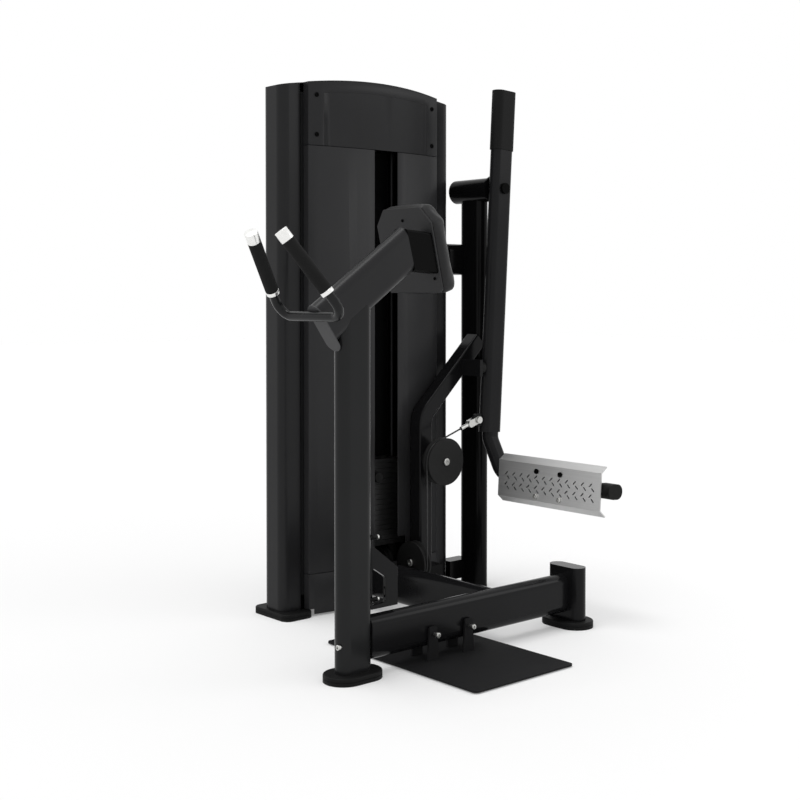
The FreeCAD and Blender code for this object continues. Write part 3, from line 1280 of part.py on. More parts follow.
def machine_cable():
    turn = math.radians(number(TOP_TURN))
    out = (math.cos(turn), math.sin(turn), 0)
    runs = [
        wrap("wrap_top", TOP_X, TOP_Y, "top_sheave_z", TOP_GROOVE, "2 * right_angle", out, (0, 0, 1)),
        wrap("wrap_inner", LOW_X, INNER_Y, INNER_Z, "inner_groove", "right_angle", (0, 1, 0), (0, 0, -1)),
        wrap("wrap_low", LOW_X, "low_sheave_y", "low_sheave_z", "low_sheave_groove", "right_angle",
             (0, 0, -1), (0, -1, 0)),
        wrap("wrap_up", "sheave_x", "arm_y", "sheave_z", "sheave_groove", "right_angle - cable_angle",
             (-1, 0, 0), (0, 0, 1)),
        rod("run_back", "z", LOW_X, "back_cable_y", INNER_Z, "cable_radius", "top_sheave_z - " + INNER_Z),
        rod("run_floor", "y", LOW_X, "low_sheave_y", "low_sheave_z - low_sheave_groove", "cable_radius",
            INNER_Y + " - low_sheave_y"),
        rod("run_front", "z", LOW_X, "arm_y", "low_sheave_z", "cable_radius", "sheave_z - low_sheave_z")]
    keep("machine_cable", join("machine_cable", *runs))


machine_cable()


def strut():
    corner = ("strut_x", "strut_corner_z")
    end = ("strut_x + strut_run * cos(strut_slope)", "strut_corner_z + strut_run * sin(strut_slope)")

    def section(made):
        for inset, soft in (("0", "corner_soft"), ("wall", "corner_soft - wall")):
            draw_box(made, "strut_x - strut_half + " + inset, "strut_y - strut_half + " + inset,
                     "strut_x + strut_half - " + inset, "strut_y + strut_half - " + inset, soft)
    body = swept("strut_form", "XZ_Plane", [("strut_x", "strut_low"), corner, end],
                 [None, "strut_bend", None], "XY_Plane", "strut_low", section)
    return body


def support_strut():
    # the path lies in the middle plane of the tube
    body = strut()
    path = [item for item in body.Group if item.Name.startswith("strut_form_outline")][0]
    bind(path, "AttachmentOffset.Base.z", "-strut_y")
    beyond = block("strut_beyond", "post_x", "post_x + 4 * overrun", "strut_y - 2 * overrun",
                   "strut_y + 2 * overrun", "strut_corner_z", "strut_corner_z + 6 * overrun")
    keep("support_strut", cut("support_strut", body, beyond, post_form))


support_strut()


def strut_shoe():
    hollow = ("shoe_y0", "shoe_y1")
    box = block("shoe_box", "shoe_box_x", "shoe_x1", *hollow, "shoe_low", "shoe_high")
    room = block("shoe_room", "shoe_box_x + shoe_sheet", "shoe_x1 - shoe_sheet", "shoe_y0 + shoe_sheet",
                 "shoe_y1 - shoe_sheet", "shoe_low + shoe_sheet", "shoe_high - shoe_sheet")
    cheek = block("shoe_cheek_plate", "shoe_cheek", "shoe_box_x", *hollow, "shoe_low", "shoe_cheek_high")
    base = block("shoe_base", "shoe_x0", "shoe_cheek", *hollow, "shoe_low", "shoe_low + shoe_sheet")
    guard = block("shoe_guard", "shoe_x0", "shoe_x0 + shoe_sheet", *hollow, "shoe_low", "shoe_high")
    knob = rod("shoe_knob", "x", "shoe_x1", "shoe_knob_y", "shoe_knob_z", "shoe_knob_radius",
               "shoe_knob_long")
    stay = hollow_block("shoe_stay", "y", "stay_x0", "stay_x1", "shoe_y1", "tower_beam_y0",
                        "stay_low", "stay_high")
    keep("strut_shoe", join("strut_shoe", cut("shoe_hollow", box, room), cheek, base, guard, knob, stay))


strut_shoe()


def stop():
    keep("stop_bracket", block("stop_bracket", "stop_x0", "stop_x1", "stop_y0", STRUT_FACE,
                               "stop_low", "stop_high"))
    keep("stop_bumper", rod("stop_bumper", "x", "stop_x1", "arm_y", "(stop_low + stop_high) / 2",
                            "bumper_radius", "bumper_x1 - stop_x1"))


stop()



def gather(label, *names):
    # small pieces of one kind that stay together
    keep(label, join(label + "_set", *[NODES.pop(name) for name in names]))


def gather_all():
    gather("frame_bolts", "gusset_bolts", "column_bolt", "step_bolts")
    gather("floor_feet", "front_foot", "end_foot", "upright_pad", "left_tower_foot", "right_tower_foot")
    gather("front_axles", "upper_axle", "lower_axle")
    gather("inner_axles", "inner_axle", "top_axle")
    gather("tower_ties", "upright_base_tie", "cross_beam")
    gather("foot_platform", "step_plate", "step_brackets")
    gather("hinge_shaft", "pivot_shaft", "pivot_cap")
    gather("lifted_stack", "lifted_plates", "stack_stem")
    gather("cover_screws", "head_screws", "pad_screws")
    gather("tower_cross_beams", "tower_base_beam", "tower_top_beam")
    gather("strut_with_stop", "support_strut", "stop_bracket")
    gather("rod_end_fork", "rod_end", "rod_end_bolt")
    gather("arm_beam", "swing_arm", "cable_lug")


gather_all()
doc.recompute()


def check_all():
    faults = []
    for obj in doc.Objects:
        if any(word in obj.State for word in ("Invalid", "Error")):
            faults.append("%s: %s" % (obj.Name, obj.State))
    for label, obj in NODES.items():
        shape = obj.Shape
        if shape.isNull() or not shape.isValid() or not shape.Solids:
            faults.append("%s has no sound solid" % label)
    if faults:
        raise RuntimeError("; ".join(faults))


def write_all():
    os.makedirs("parts", exist_ok=True)
    for label, obj in NODES.items():
        obj.Shape.exportStep("parts/%s.step" % label)


check_all()
write_all()
print("%d pieces written" % len(NODES))
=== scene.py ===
import bpy
import math
from mathutils import Vector, Matrix


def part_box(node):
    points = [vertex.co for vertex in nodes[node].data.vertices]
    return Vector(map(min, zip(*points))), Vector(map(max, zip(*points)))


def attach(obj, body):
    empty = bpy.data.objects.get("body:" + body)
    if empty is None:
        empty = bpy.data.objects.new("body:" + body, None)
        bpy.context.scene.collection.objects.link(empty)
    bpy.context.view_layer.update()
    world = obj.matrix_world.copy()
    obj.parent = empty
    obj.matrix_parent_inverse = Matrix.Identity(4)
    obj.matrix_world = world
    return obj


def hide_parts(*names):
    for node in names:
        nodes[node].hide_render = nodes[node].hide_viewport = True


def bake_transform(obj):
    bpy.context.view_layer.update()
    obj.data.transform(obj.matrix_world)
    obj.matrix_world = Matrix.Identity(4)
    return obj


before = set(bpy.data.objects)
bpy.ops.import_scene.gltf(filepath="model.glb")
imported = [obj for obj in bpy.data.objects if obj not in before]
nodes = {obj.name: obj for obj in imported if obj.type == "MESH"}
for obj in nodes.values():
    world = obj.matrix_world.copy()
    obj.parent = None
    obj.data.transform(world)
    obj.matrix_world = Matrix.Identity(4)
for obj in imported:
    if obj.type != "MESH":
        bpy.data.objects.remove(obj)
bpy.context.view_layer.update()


# helpers that choose, edit and finish pieces
def dropSelection():
    if bpy.context.mode != "OBJECT":
        bpy.ops.object.mode_set(mode="OBJECT")
    bpy.ops.object.select_all(action="DESELECT")


def choose(*pieces):
    dropSelection()
    for piece in pieces:
        piece.select_set(True)
    bpy.context.view_layer.objects.active = pieces[0]


def settle(piece):
    # place, turn and scale go into the mesh
    choose(piece)
    bpy.ops.object.transform_apply(location=True, rotation=True, scale=True)


def startEdit(piece, kind="FACE"):
    choose(piece)
    bpy.ops.object.mode_set(mode="EDIT")
    bpy.ops.mesh.select_mode(type=kind)
    bpy.ops.mesh.select_all(action="DESELECT")
    bpy.ops.object.mode_set(mode="OBJECT")


def markFaces(piece, wanted):
    # selects faces by their centre and normal, and goes into edit mode
    startEdit(piece, "FACE")
    for face in piece.data.polygons:
        face.select = bool(wanted(face.center, face.normal))
    bpy.ops.object.mode_set(mode="EDIT")


def markEdges(piece, wanted):
    startEdit(piece, "EDGE")
    spots = [v.co for v in piece.data.vertices]
    for edge in piece.data.edges:
        edge.select = bool(wanted(spots[edge.vertices[0]], spots[edge.vertices[1]]))
    bpy.ops.object.mode_set(mode="EDIT")


def leaveEdit():
    bpy.ops.object.mode_set(mode="OBJECT")


def useModifier(piece, kind, **values):
    modifier = piece.modifiers.new(kind.title(), kind)
    for key, value in values.items():
        setattr(modifier, key, value)
    choose(piece)
    bpy.ops.object.modifier_apply(modifier=modifier.name)


def roundBar(name, radius, length, sides=48):
    # a bar along +Z whose foot stands at the origin
    dropSelection()
    bpy.ops.mesh.primitive_cylinder_add(vertices=sides, radius=radius, depth=length,
                                        location=(0, 0, length / 2))
    piece = bpy.context.active_object
    piece.name = name
    settle(piece)
    return piece


def carve(piece, tool):
    useModifier(piece, "BOOLEAN", operation="DIFFERENCE", object=tool, solver="EXACT")
    bpy.data.objects.remove(tool)


def softShade(piece, degrees=35):
    choose(piece)
    bpy.ops.object.shade_smooth_by_angle(angle=math.radians(degrees))


def standAt(piece, spot, direction):
    # the piece's +Z is turned to direction and its foot goes to spot
    piece.matrix_world = (Matrix.Translation(Vector(spot))
                          @ Vector(direction).to_track_quat("Z", "Y").to_matrix().to_4x4())
    settle(piece)


def copyTo(source, name, spots):
    # one joined piece from copies at (spot, direction)
    copies = []
    for spot, direction in spots:
        twin = source.copy()
        twin.data = source.data.copy()
        bpy.context.scene.collection.objects.link(twin)
        standAt(twin, spot, direction)
        copies.append(twin)
    choose(*copies)
    if len(copies) > 1:
        bpy.ops.object.join()
    piece = bpy.context.active_object
    piece.name = name
    return piece


def joinAll(name, *pieces):
    choose(*pieces)
    if len(pieces) > 1:
        bpy.ops.object.join()
    pieces[0].name = name
    return pieces[0]


def mm(*values):
    if len(values) == 1:
        return values[0] / 1000
    return Vector([v / 1000 for v in values])


# the camera stands where the photograph was taken
cameraSet = {
    "spot": (-1.9364, -2.4178, 0.95),    # metres, eye height of the photograph
    "turn": (88.66, 0.0, -40.85),        # degrees
    "lens": 56.84,                       # mm on a 36 mm wide sensor
    "sensor": 36.0,
    "shiftY": -0.0959,                   # the photograph's lower half is longer
    "clipEnd": 60.0,
}

dropSelection()
bpy.ops.object.camera_add(location=cameraSet["spot"],
                          rotation=[math.radians(a) for a in cameraSet["turn"]])
camera = bpy.context.active_object
camera.name = "studioCamera"
camera.data.lens = cameraSet["lens"]
camera.data.sensor_width = cameraSet["sensor"]
camera.data.shift_y = cameraSet["shiftY"]
camera.data.clip_end = cameraSet["clipEnd"]
bpy.context.scene.camera = camera
print("camera stands")


# materials: each is named for the real finish, or for the painted shade it carries
def colour(code):
    # sRGB hex to the linear values that the nodes want
    parts = [int(code[i:i + 2], 16) / 255 for i in (1, 3, 5)]
    return [p / 12.92 if p <= 0.04045 else ((p + 0.055) / 1.055) ** 2.4 for p in parts] + [1.0]


def addNode(tree, kind, links=None, values=None, **settings):
    node = tree.nodes.new(kind)
    for key, value in settings.items():
        setattr(node, key, value)
    for key, value in (values or {}).items():
        node.inputs[key].default_value = value
    for key, socket in (links or {}).items():
        tree.links.new(socket, node.inputs[key])
    return node


def newMaterial(name, **surface):
    made = bpy.data.materials.new(name)
    made.use_nodes = True
    tree = made.node_tree
    shader = tree.nodes["Principled BSDF"]
    for key, value in surface.items():
        shader.inputs[key].default_value = value
    place = addNode(tree, "ShaderNodeTexCoord").outputs["Object"]
    return made, tree, shader, place


def perMm(size):
    # a texture scale that makes one cell about size millimetres wide
    return 1000.0 / size


def paintedSteel(name, dark, light, rough, peel, shine):
    # polyester powder coat on steel: black, even, with a faint orange peel that breaks up reflections
    made, tree, shader, place = newMaterial(name, **{"Specular IOR Level": shine, "IOR": 1.5})
    cloud = addNode(tree, "ShaderNodeTexNoise", {"Vector": place},
                    {"Scale": perMm(180), "Detail": 3.0, "Roughness": 0.5})
    tint = addNode(tree, "ShaderNodeMix", {"Factor": cloud.outputs["Fac"]}, data_type="RGBA")
    tint.inputs["A"].default_value = colour(dark)
    tint.inputs["B"].default_value = colour(light)
    spread = addNode(tree, "ShaderNodeMapRange", {"Value": cloud.outputs["Fac"]},
                     {"To Min": rough * 0.85, "To Max": rough * 1.2})
    skin = addNode(tree, "ShaderNodeTexNoise", {"Vector": place},
                   {"Scale": perMm(peel), "Detail": 1.0})      # drawn coarser than the real 1 mm peel
    bump = addNode(tree, "ShaderNodeBump", {"Height": skin.outputs["Fac"]},
                   {"Strength": 0.12, "Distance": 0.0004})
    tree.links.new(tint.outputs["Result"], shader.inputs["Base Color"])
    tree.links.new(spread.outputs["Result"], shader.inputs["Roughness"])
    tree.links.new(bump.outputs["Normal"], shader.inputs["Normal"])
    return made


def mouldedRubber(name, dark, light, rough, grain):
    # vulcanised rubber from a mould: deep matt black with a fine grain and dusty, paler patches
    made, tree, shader, place = newMaterial(name, **{"Specular IOR Level": 0.14, "IOR": 1.52})
    dust = addNode(tree, "ShaderNodeTexNoise", {"Vector": place},
                   {"Scale": perMm(60), "Detail": 4.0, "Roughness": 0.6})
    tint = addNode(tree, "ShaderNodeMix", {"Factor": dust.outputs["Fac"]}, data_type="RGBA")
    tint.inputs["A"].default_value = colour(dark)
    tint.inputs["B"].default_value = colour(light)
    pits = addNode(tree, "ShaderNodeTexVoronoi", {"Vector": place}, {"Scale": perMm(grain)})
    bump = addNode(tree, "ShaderNodeBump", {"Height": pits.outputs["Distance"]},
                   {"Strength": 0.25, "Distance": 0.0004})
    shader.inputs["Roughness"].default_value = rough
    tree.links.new(tint.outputs["Result"], shader.inputs["Base Color"])
    tree.links.new(bump.outputs["Normal"], shader.inputs["Normal"])
    return made


def brushedSteel(name, dark, light, rough, along):
    # stainless sheet, belt ground: streaks run along one way, so highlights smear across them
    made, tree, shader, place = newMaterial(name, **{"Metallic": 1.0})
    stretch = addNode(tree, "ShaderNodeMapping", {"Vector": place})
    stretch.inputs["Scale"].default_value = [perMm(240) if i == along else perMm(2.0) for i in range(3)]
    streak = addNode(tree, "ShaderNodeTexNoise", {"Vector": stretch.outputs["Vector"]},
                     {"Scale": 1.0, "Detail": 4.0, "Roughness": 0.65})
    tint = addNode(tree, "ShaderNodeMix", {"Factor": streak.outputs["Fac"]}, data_type="RGBA")
    tint.inputs["A"].default_value = colour(dark)
    tint.inputs["B"].default_value = colour(light)
    spread = addNode(tree, "ShaderNodeMapRange", {"Value": streak.outputs["Fac"]},
                     {"To Min": rough * 0.8, "To Max": rough * 1.25})
    bump = addNode(tree, "ShaderNodeBump", {"Height": streak.outputs["Fac"]},
                   {"Strength": 0.12, "Distance": 0.0003})
    tree.links.new(tint.outputs["Result"], shader.inputs["Base Color"])
    tree.links.new(spread.outputs["Result"], shader.inputs["Roughness"])
    tree.links.new(bump.outputs["Normal"], shader.inputs["Normal"])
    return made


def brightMetal(name, dark, light, rough, cell):
    # zinc plated or turned metal: bright, with small cloudy marks from plating and handling
    made, tree, shader, place = newMaterial(name, **{"Metallic": 1.0})
    marks = addNode(tree, "ShaderNodeTexNoise", {"Vector": place},
                    {"Scale": perMm(cell), "Detail": 5.0, "Roughness": 0.6})
    tint = addNode(tree, "ShaderNodeMix", {"Factor": marks.outputs["Fac"]}, data_type="RGBA")
    tint.inputs["A"].default_value = colour(dark)
    tint.inputs["B"].default_value = colour(light)
    spread = addNode(tree, "ShaderNodeMapRange", {"Value": marks.outputs["Fac"]},
                     {"To Min": rough * 0.7, "To Max": rough * 1.4})
    tree.links.new(tint.outputs["Result"], shader.inputs["Base Color"])
    tree.links.new(spread.outputs["Result"], shader.inputs["Roughness"])
    return made


def upholsteryVinyl(name, dark, light, rough, grain):
    # PVC coated cloth with an embossed hide grain: its colour carries painted shade in the creases and a
    # painted sheen on the swells
    made, tree, shader, place = newMaterial(name, **{"Specular IOR Level": 0.25, "IOR": 1.5})
    cells = addNode(tree, "ShaderNodeTexVoronoi", {"Vector": place}, {"Scale": perMm(grain)},
                    feature="DISTANCE_TO_EDGE")
    creaseReliefAndShade = addNode(tree, "ShaderNodeMapRange", {"Value": cells.outputs["Distance"]},
                     {"From Max": 0.12})
    tint = addNode(tree, "ShaderNodeMix", {"Factor": creaseReliefAndShade.outputs["Result"]}, data_type="RGBA")
    tint.inputs["A"].default_value = colour(dark)
    tint.inputs["B"].default_value = colour(light)
    bump = addNode(tree, "ShaderNodeBump", {"Height": creaseReliefAndShade.outputs["Result"]},
                   {"Strength": 0.2, "Distance": 0.0005})
    shader.inputs["Roughness"].default_value = rough
    tree.links.new(tint.outputs["Result"], shader.inputs["Base Color"])
    tree.links.new(bump.outputs["Normal"], shader.inputs["Normal"])
    return made


def mouldedPlastic(name, dark, light, rough, spark):
    # injection moulded nylon or ABS with a spark eroded texture: even, matt, slightly grainy
    made, tree, shader, place = newMaterial(name, **{"Specular IOR Level": 0.22, "IOR": 1.53})
    grain = addNode(tree, "ShaderNodeTexNoise", {"Vector": place},
                    {"Scale": perMm(spark), "Detail": 3.0})
    tint = addNode(tree, "ShaderNodeMix", {"Factor": grain.outputs["Fac"]}, data_type="RGBA")
    tint.inputs["A"].default_value = colour(dark)
    tint.inputs["B"].default_value = colour(light)
    bump = addNode(tree, "ShaderNodeBump", {"Height": grain.outputs["Fac"]},
                   {"Strength": 0.15, "Distance": 0.0003})
    shader.inputs["Roughness"].default_value = rough
    tree.links.new(tint.outputs["Result"], shader.inputs["Base Color"])
    tree.links.new(bump.outputs["Normal"], shader.inputs["Normal"])
    return made


def coatedCable(name, dark, light, rough, lay):
    # wire rope in a clear-black nylon jacket: the strands' twist shows as faint slanting bands
    made, tree, shader, place = newMaterial(name, **{"Specular IOR Level": 0.5, "IOR": 1.53})
    bands = addNode(tree, "ShaderNodeTexWave", {"Vector": place},
                    {"Scale": perMm(lay) / 6.3, "Distortion": 0.4}, bands_direction="DIAGONAL")
    tint = addNode(tree, "ShaderNodeMix", {"Factor": bands.outputs["Fac"]}, data_type="RGBA")
    tint.inputs["A"].default_value = colour(dark)
    tint.inputs["B"].default_value = colour(light)
    bump = addNode(tree, "ShaderNodeBump", {"Height": bands.outputs["Fac"]},
                   {"Strength": 0.2, "Distance": 0.0003})
    shader.inputs["Roughness"].default_value = rough
    tree.links.new(tint.outputs["Result"], shader.inputs["Base Color"])
    tree.links.new(bump.outputs["Normal"], shader.inputs["Normal"])
    return made


finishes = {
    "framePaint": paintedSteel("powderCoatedSteel", "#191a1a", "#1f1f20", 0.20, 9.0, 0.14),
    # a darker copy of the frame's powder coat: painted shade for the upright and the parts near it that
    # lie in shade
    "shadedFramePaint": paintedSteel("powderCoatedSteelPaintedShade", "#090909", "#0d0d0e", 0.16, 9.0, 0.07),
    "armPaint": paintedSteel("powderCoatedArm", "#171718", "#1c1c1d", 0.24, 9.0, 0.08),
    "columnPaint": paintedSteel("powderCoatedColumn", "#1b1b1c", "#202021", 0.24, 11.0, 0.14),
    "coverPaint": paintedSteel("powderCoatedCover", "#262627", "#2b2b2c", 0.34, 14.0, 0.14),
    "beamPaint": paintedSteel("powderCoatedBeam", "#101011", "#151516", 0.16, 9.0, 0.12),
    "headPaint": paintedSteel("powderCoatedHead", "#202021", "#252526", 0.30, 11.0, 0.14),
    # a near black copy of the frame paint: painted shade on the pad arm, which lies in the chest pad's
    # shadow
    "shadedPadArmPaint": paintedSteel("powderCoatedPadArmPaintedShade", "#050505", "#080808", 0.34, 9.0, 0.04),
    "stepPaint": paintedSteel("texturedPowderCoat", "#151516", "#1a1a1b", 0.62, 3.0, 0.10),
    "footRubber": mouldedRubber("mouldedRubber", "#080808", "#0e0e0e", 0.62, 2.5),
    "gripFoam": mouldedRubber("nitrileGrip", "#141414", "#1b1b1b", 0.85, 3.0),
    "tread": brushedSteel("brushedStainlessTread", "#bababa", "#d9d9d8", 0.44, 1),
    "zinc": brightMetal("zincPlatedSteel", "#a8a8a6", "#d8d8d5", 0.28, 6.0),
    "turned": brightMetal("turnedAluminium", "#e4e4e2", "#f6f6f4", 0.26, 8.0),
    # near black metal: painted shade for the guide rods deep in the slot between the shrouds
    "chrome": brightMetal("guideRodPaintedShade", "#1d1d1e", "#2a2a2b", 0.34, 25.0),
    "vinyl": upholsteryVinyl("upholsteryVinyl", "#0e0e0f", "#181819", 0.46, 2.6),
    "backBoard": mouldedPlastic("texturedAbsBoard", "#202021", "#252526", 0.55, 3.0),
    "endPlate": mouldedPlastic("mouldedEndPlate", "#3a3a3b", "#414142", 0.55, 4.0),
    "nylon": mouldedPlastic("mouldedNylon", "#0a0a0a", "#0f0f0f", 0.60, 3.0),
    "blackScrew": paintedSteel("blackenedScrew", "#020202", "#050505", 0.60, 4.0, 0.04),
    "plate": paintedSteel("enamelledPlate", "#1a1a1a", "#222222", 0.36, 5.0, 0.40),
    "cable": coatedCable("jacketedWireRope", "#0c0c0c", "#1c1c1c", 0.45, 6.0),
}
print("finishes mixed:", len(finishes))

nodeFinish = {
    "framePaint": ["front_column", "handle_bar", "cover_strips"],
    "beamPaint": ["base_beam", "link_beam", "end_bracket", "gusset_plate", "strut_with_stop"],
    # painted shade: these parts get the darkened copy of the frame paint
    "shadedFramePaint": ["upright_post", "tower_ties", "strut_shoe",
                  "pivot_hub", "footplate_mount", "tower_cross_beams"],
    "armPaint": ["arm_beam", "foot_bar"],
    # painted shade on the pad arm
    "shadedPadArmPaint": ["pad_arm"],
    "columnPaint": ["left_column", "right_column"],
    "stepPaint": ["foot_platform"],
    "coverPaint": ["left_shroud", "right_shroud", "front_plinth"],
    "headPaint": ["diagonal_beam", "head_panel", "tower_cap", "rear_cover"],
    "footRubber": ["floor_feet", "arm_sleeve", "bar_end_cap", "stack_buffers"],
    "tread": ["footplate"],
    "zinc": ["rod_end_fork", "pivot_bearings", "inner_axles"],
    # painted shade on the guide rods
    "blackScrew": ["hinge_shaft"],
    "chrome": ["guide_rods"],
    "backBoard": ["pad_backplate"],
    "endPlate": ["beam_end_cap"],
    "nylon": ["upper_sheave", "lower_sheave", "inner_sheave", "top_sheave"],
    "plate": ["resting_plates", "lifted_stack"],
    "cable": ["machine_cable"],
}
for finish, names in nodeFinish.items():
    for name in names:
        nodes[name].data.materials.clear()
        nodes[name].data.materials.append(finishes[finish])

# pressed and cut edges are never sharp: a small round catches the light
edgeSet = {
    "round": 0.9,        # mm
    "angle": 38,         # degrees between faces from which an edge counts as one
    "join": 0.02,        # mm, nearer points are one point
    "nodes": ["head_panel", "foot_platform", "gusset_plate", "left_shroud", "right_shroud",
              "front_plinth", "tower_cap", "pad_backplate"],
}
for name in edgeSet["nodes"]:
    weld = nodes[name].modifiers.new("Weld", "WELD")
    weld.merge_threshold = mm(edgeSet["join"])
    edge = nodes[name].modifiers.new("Edge", "BEVEL")
    edge.width = mm(edgeSet["round"])
    edge.segments = 2
    edge.limit_method = "ANGLE"
    edge.angle_limit = math.radians(edgeSet["angle"])
    edge.harden_normals = True
print("edges eased:", len(edgeSet["nodes"]))


def dress(piece, finish, body, slot, *stoodFor):
    piece.data.materials.clear()
    piece.data.materials.append(finishes[finish])
    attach(piece, body)
    if stoodFor:
        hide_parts(*stoodFor)


# bolts and screws
boltSet = {
    "rim": 0.14,          # bevel of the head as a share of its radius
    "socket": 0.52,       # hexagon across its corners as a share of the head
    "socketDeep": 0.55,   # share of the head's height
    "tip": 0.25,          # bevel of the shank's end as a share of its radius
    "sides": 40,
    "shankSides": 24,
}


def markTopRim(piece, high):
    markEdges(piece, lambda a, b: min(a.z, b.z) > high * 0.9)


def markBothRims(piece):
    markEdges(piece, lambda a, b: abs(a.z - b.z) < 1e-6)


def socketHead(name, radius, high):
    # a cap screw's head with its hexagon socket
    head = roundBar(name, radius, high, boltSet["sides"])
    markTopRim(head, high)
    bpy.ops.mesh.bevel(offset=radius * boltSet["rim"], segments=3)
    leaveEdit()
    deep = high * boltSet["socketDeep"]
    key = roundBar("key", radius * boltSet["socket"], deep * 2, 6)
    key.location.z = high - deep
    settle(key)
    carve(head, key)
    softShade(head)
    return head


def makeBolt(name, radius, high, shank, shankLong):
    # head above the seat, shank below it
    head = socketHead(name, radius, high)
    stem = roundBar("stem", shank, shankLong, boltSet["shankSides"])
    stem.location.z = -shankLong
    settle(stem)
    markEdges(stem, lambda a, b: a.z < -shankLong * 0.99 and b.z < -shankLong * 0.99)
    bpy.ops.mesh.bevel(offset=shank * boltSet["tip"], segments=2)
    leaveEdit()
    softShade(stem)
    return joinAll(name, head, stem)


frameBoltSet = {
    # head radius and height, shank radius and length, mm
    "gusset": (6, 5, 4, 24),
    "column": (7, 6, 5, 6),
    "step": (7, 8, 4, 22),
    "gussetSeats": [(67, -12, 345), (67, -12, 190)],
    "columnSeat": (-50, -10, 89),
    "stepX": (239, 365),
    "stepY": 47,
    "stepZ": 76,
    "spacer": (5.6, 22),      # radius and length of the tube behind a gusset bolt
    "spacerX": 44.5,
    "spacerRim": 0.6,
}


def frameBolts():
    makes = frameBoltSet
    gusset, column, step = [makeBolt(kind + "Bolt", *[mm(v) for v in makes[kind]])
                            for kind in ("gusset", "column", "step")]
    stepSeats = [(mm(x, side * makes["stepY"], makes["stepZ"]), (0, side, 0))
                 for x in makes["stepX"] for side in (-1, 1)]
    gussetSeats = [(mm(*seat), (1, 0, 0)) for seat in makes["gussetSeats"]]
    groups = [
        copyTo(step, "stepBolts", stepSeats),
        copyTo(column, "columnBolts", [(mm(*makes["columnSeat"]), (-1, 0, 0))]),
        copyTo(gusset, "gussetBolts", gussetSeats),
    ]
    for source in (gusset, column, step):
        bpy.data.objects.remove(source)
    spacer = roundBar("gussetSpacer", *[mm(v) for v in makes["spacer"]], boltSet["sides"])
    markBothRims(spacer)
    bpy.ops.mesh.bevel(offset=mm(makes["spacerRim"]), segments=2)
    leaveEdit()
    softShade(spacer)
    feet = [(mm(makes["spacerX"], seat[1], seat[2]), (1, 0, 0)) for seat in makes["gussetSeats"]]
    spacers = copyTo(spacer, "gussetSpacers", feet)
    bpy.data.objects.remove(spacer)
    # painted shade: the spacers get the darkened copy of the frame paint
    dress(spacers, "shadedFramePaint", "frame", "frame_paint")
    dress(joinAll("frameBolts", *groups), "zinc", "frame", "bolt_steel", "frame_bolts")


treadBoltSet = {
    "tilt": 3.34,                 # degrees, the tread plate leans back at its top
    "bolt": (7.5, 5, 4, 12),      # head radius and height, shank radius and length, mm
    "nut": (7.5, 7),              # radius across the corners, height
    "nutRim": 0.8,
    "nutBehind": 17,
    "y": (79.3, 173.4),
    "upper": (846.7, 416.7),      # X and Z of a seat
    "lower": (842.3, 341.9),
}


def treadBolts():
    makes = treadBoltSet
    tilt = math.radians(makes["tilt"])
    outward = Vector((-math.cos(tilt), 0, math.sin(tilt)))
    source = makeBolt("treadBolt", *[mm(v) for v in makes["bolt"]])
    upperSeats, lowerSeats = [[mm(makes[row][0], y, makes[row][1]) for y in makes["y"]]
                              for row in ("upper", "lower")]
    upper = copyTo(source, "upperHeads", [(seat, outward) for seat in upperSeats])
    lower = copyTo(source, "lowerHeads", [(seat, outward) for seat in lowerSeats])
    bpy.data.objects.remove(source)
    nut = roundBar("treadNut", *[mm(v) for v in makes["nut"]], 6)
    markBothRims(nut)
    bpy.ops.mesh.bevel(offset=mm(makes["nutRim"]), segments=2)
    leaveEdit()
    softShade(nut)
    behind = outward * mm(makes["nutBehind"])
    nuts = copyTo(nut, "treadNuts", [(seat - behind, outward) for seat in upperSeats + lowerSeats])
    bpy.data.objects.remove(nut)
    for piece, finish in ((upper, "blackScrew"), (lower, "zinc"), (nuts, "zinc")):
        piece.data.materials.append(finishes[finish])
    bolts = joinAll("treadBolts", upper, lower, nuts)
    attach(bolts, "arm")
    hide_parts("footplate_bolts")


# a black sheet behind the tread openings, painted shade
shadeSheetSet = {
    "size": (1.2, 392.0, 92.0),           # mm: thickness, length, height
    "centre": (848.6, 127.8, 377.0),      # just behind the tread plate
    "tilt": 3.34,                         # degrees, as the plate
    "corner": 6,
}


def treadShadeSheet():
    # a thin black sheet behind the openings: painted shade that keeps them dark
    dropSelection()
    bpy.ops.mesh.primitive_cube_add(size=1, scale=mm(*shadeSheetSet["size"]))
    shadeSheet = bpy.context.active_object
    shadeSheet.name = "treadShadeSheet"
    settle(shadeSheet)
    markEdges(shadeSheet, lambda a, b: abs(a.x - b.x) > mm(1))
    bpy.ops.mesh.bevel(offset=mm(shadeSheetSet["corner"]), segments=4)
    leaveEdit()
    softShade(shadeSheet)
    shadeSheet.rotation_euler = (0, math.radians(shadeSheetSet["tilt"]), 0)
    shadeSheet.location = mm(*shadeSheetSet["centre"])
    settle(shadeSheet)
    dress(shadeSheet, "footRubber", "arm", "rubber_black")


screwSet = {
    # radius and height of the head, mm
    "wide": (7, 2),
    "small": (4, 2),
    "dome": 0.8,                 # bevel as a share of the height
    "slot": (1.1, 0.28),         # the cross's length and width as shares of the radius
    "sides": 36,
    "headX": (303, 757),
    "headY": 542.9,
    "headZ": (1532, 1416),
    "padTilt": 13.3,             # degrees, as the chest pad
    "padSpots": [(228.7, 78, 1140.3), (264.6, 164, 988.5), (264.6, -8, 988.5)],
    "padSink": 0.9,
}


def domedScrew(name, radius, high):
    # a low domed head with a cross recess
    head = roundBar(name, radius, high, screwSet["sides"])
    markTopRim(head, high)
    bpy.ops.mesh.bevel(offset=high * screwSet["dome"], segments=3)
    leaveEdit()
    long, wide = [radius * share for share in screwSet["slot"]]
    for across in ((long, wide), (wide, long)):
        dropSelection()
        bpy.ops.mesh.primitive_cube_add(size=1, location=(0, 0, high), scale=(*across, high))
        carve(head, bpy.context.active_object)
    softShade(head)
    return head


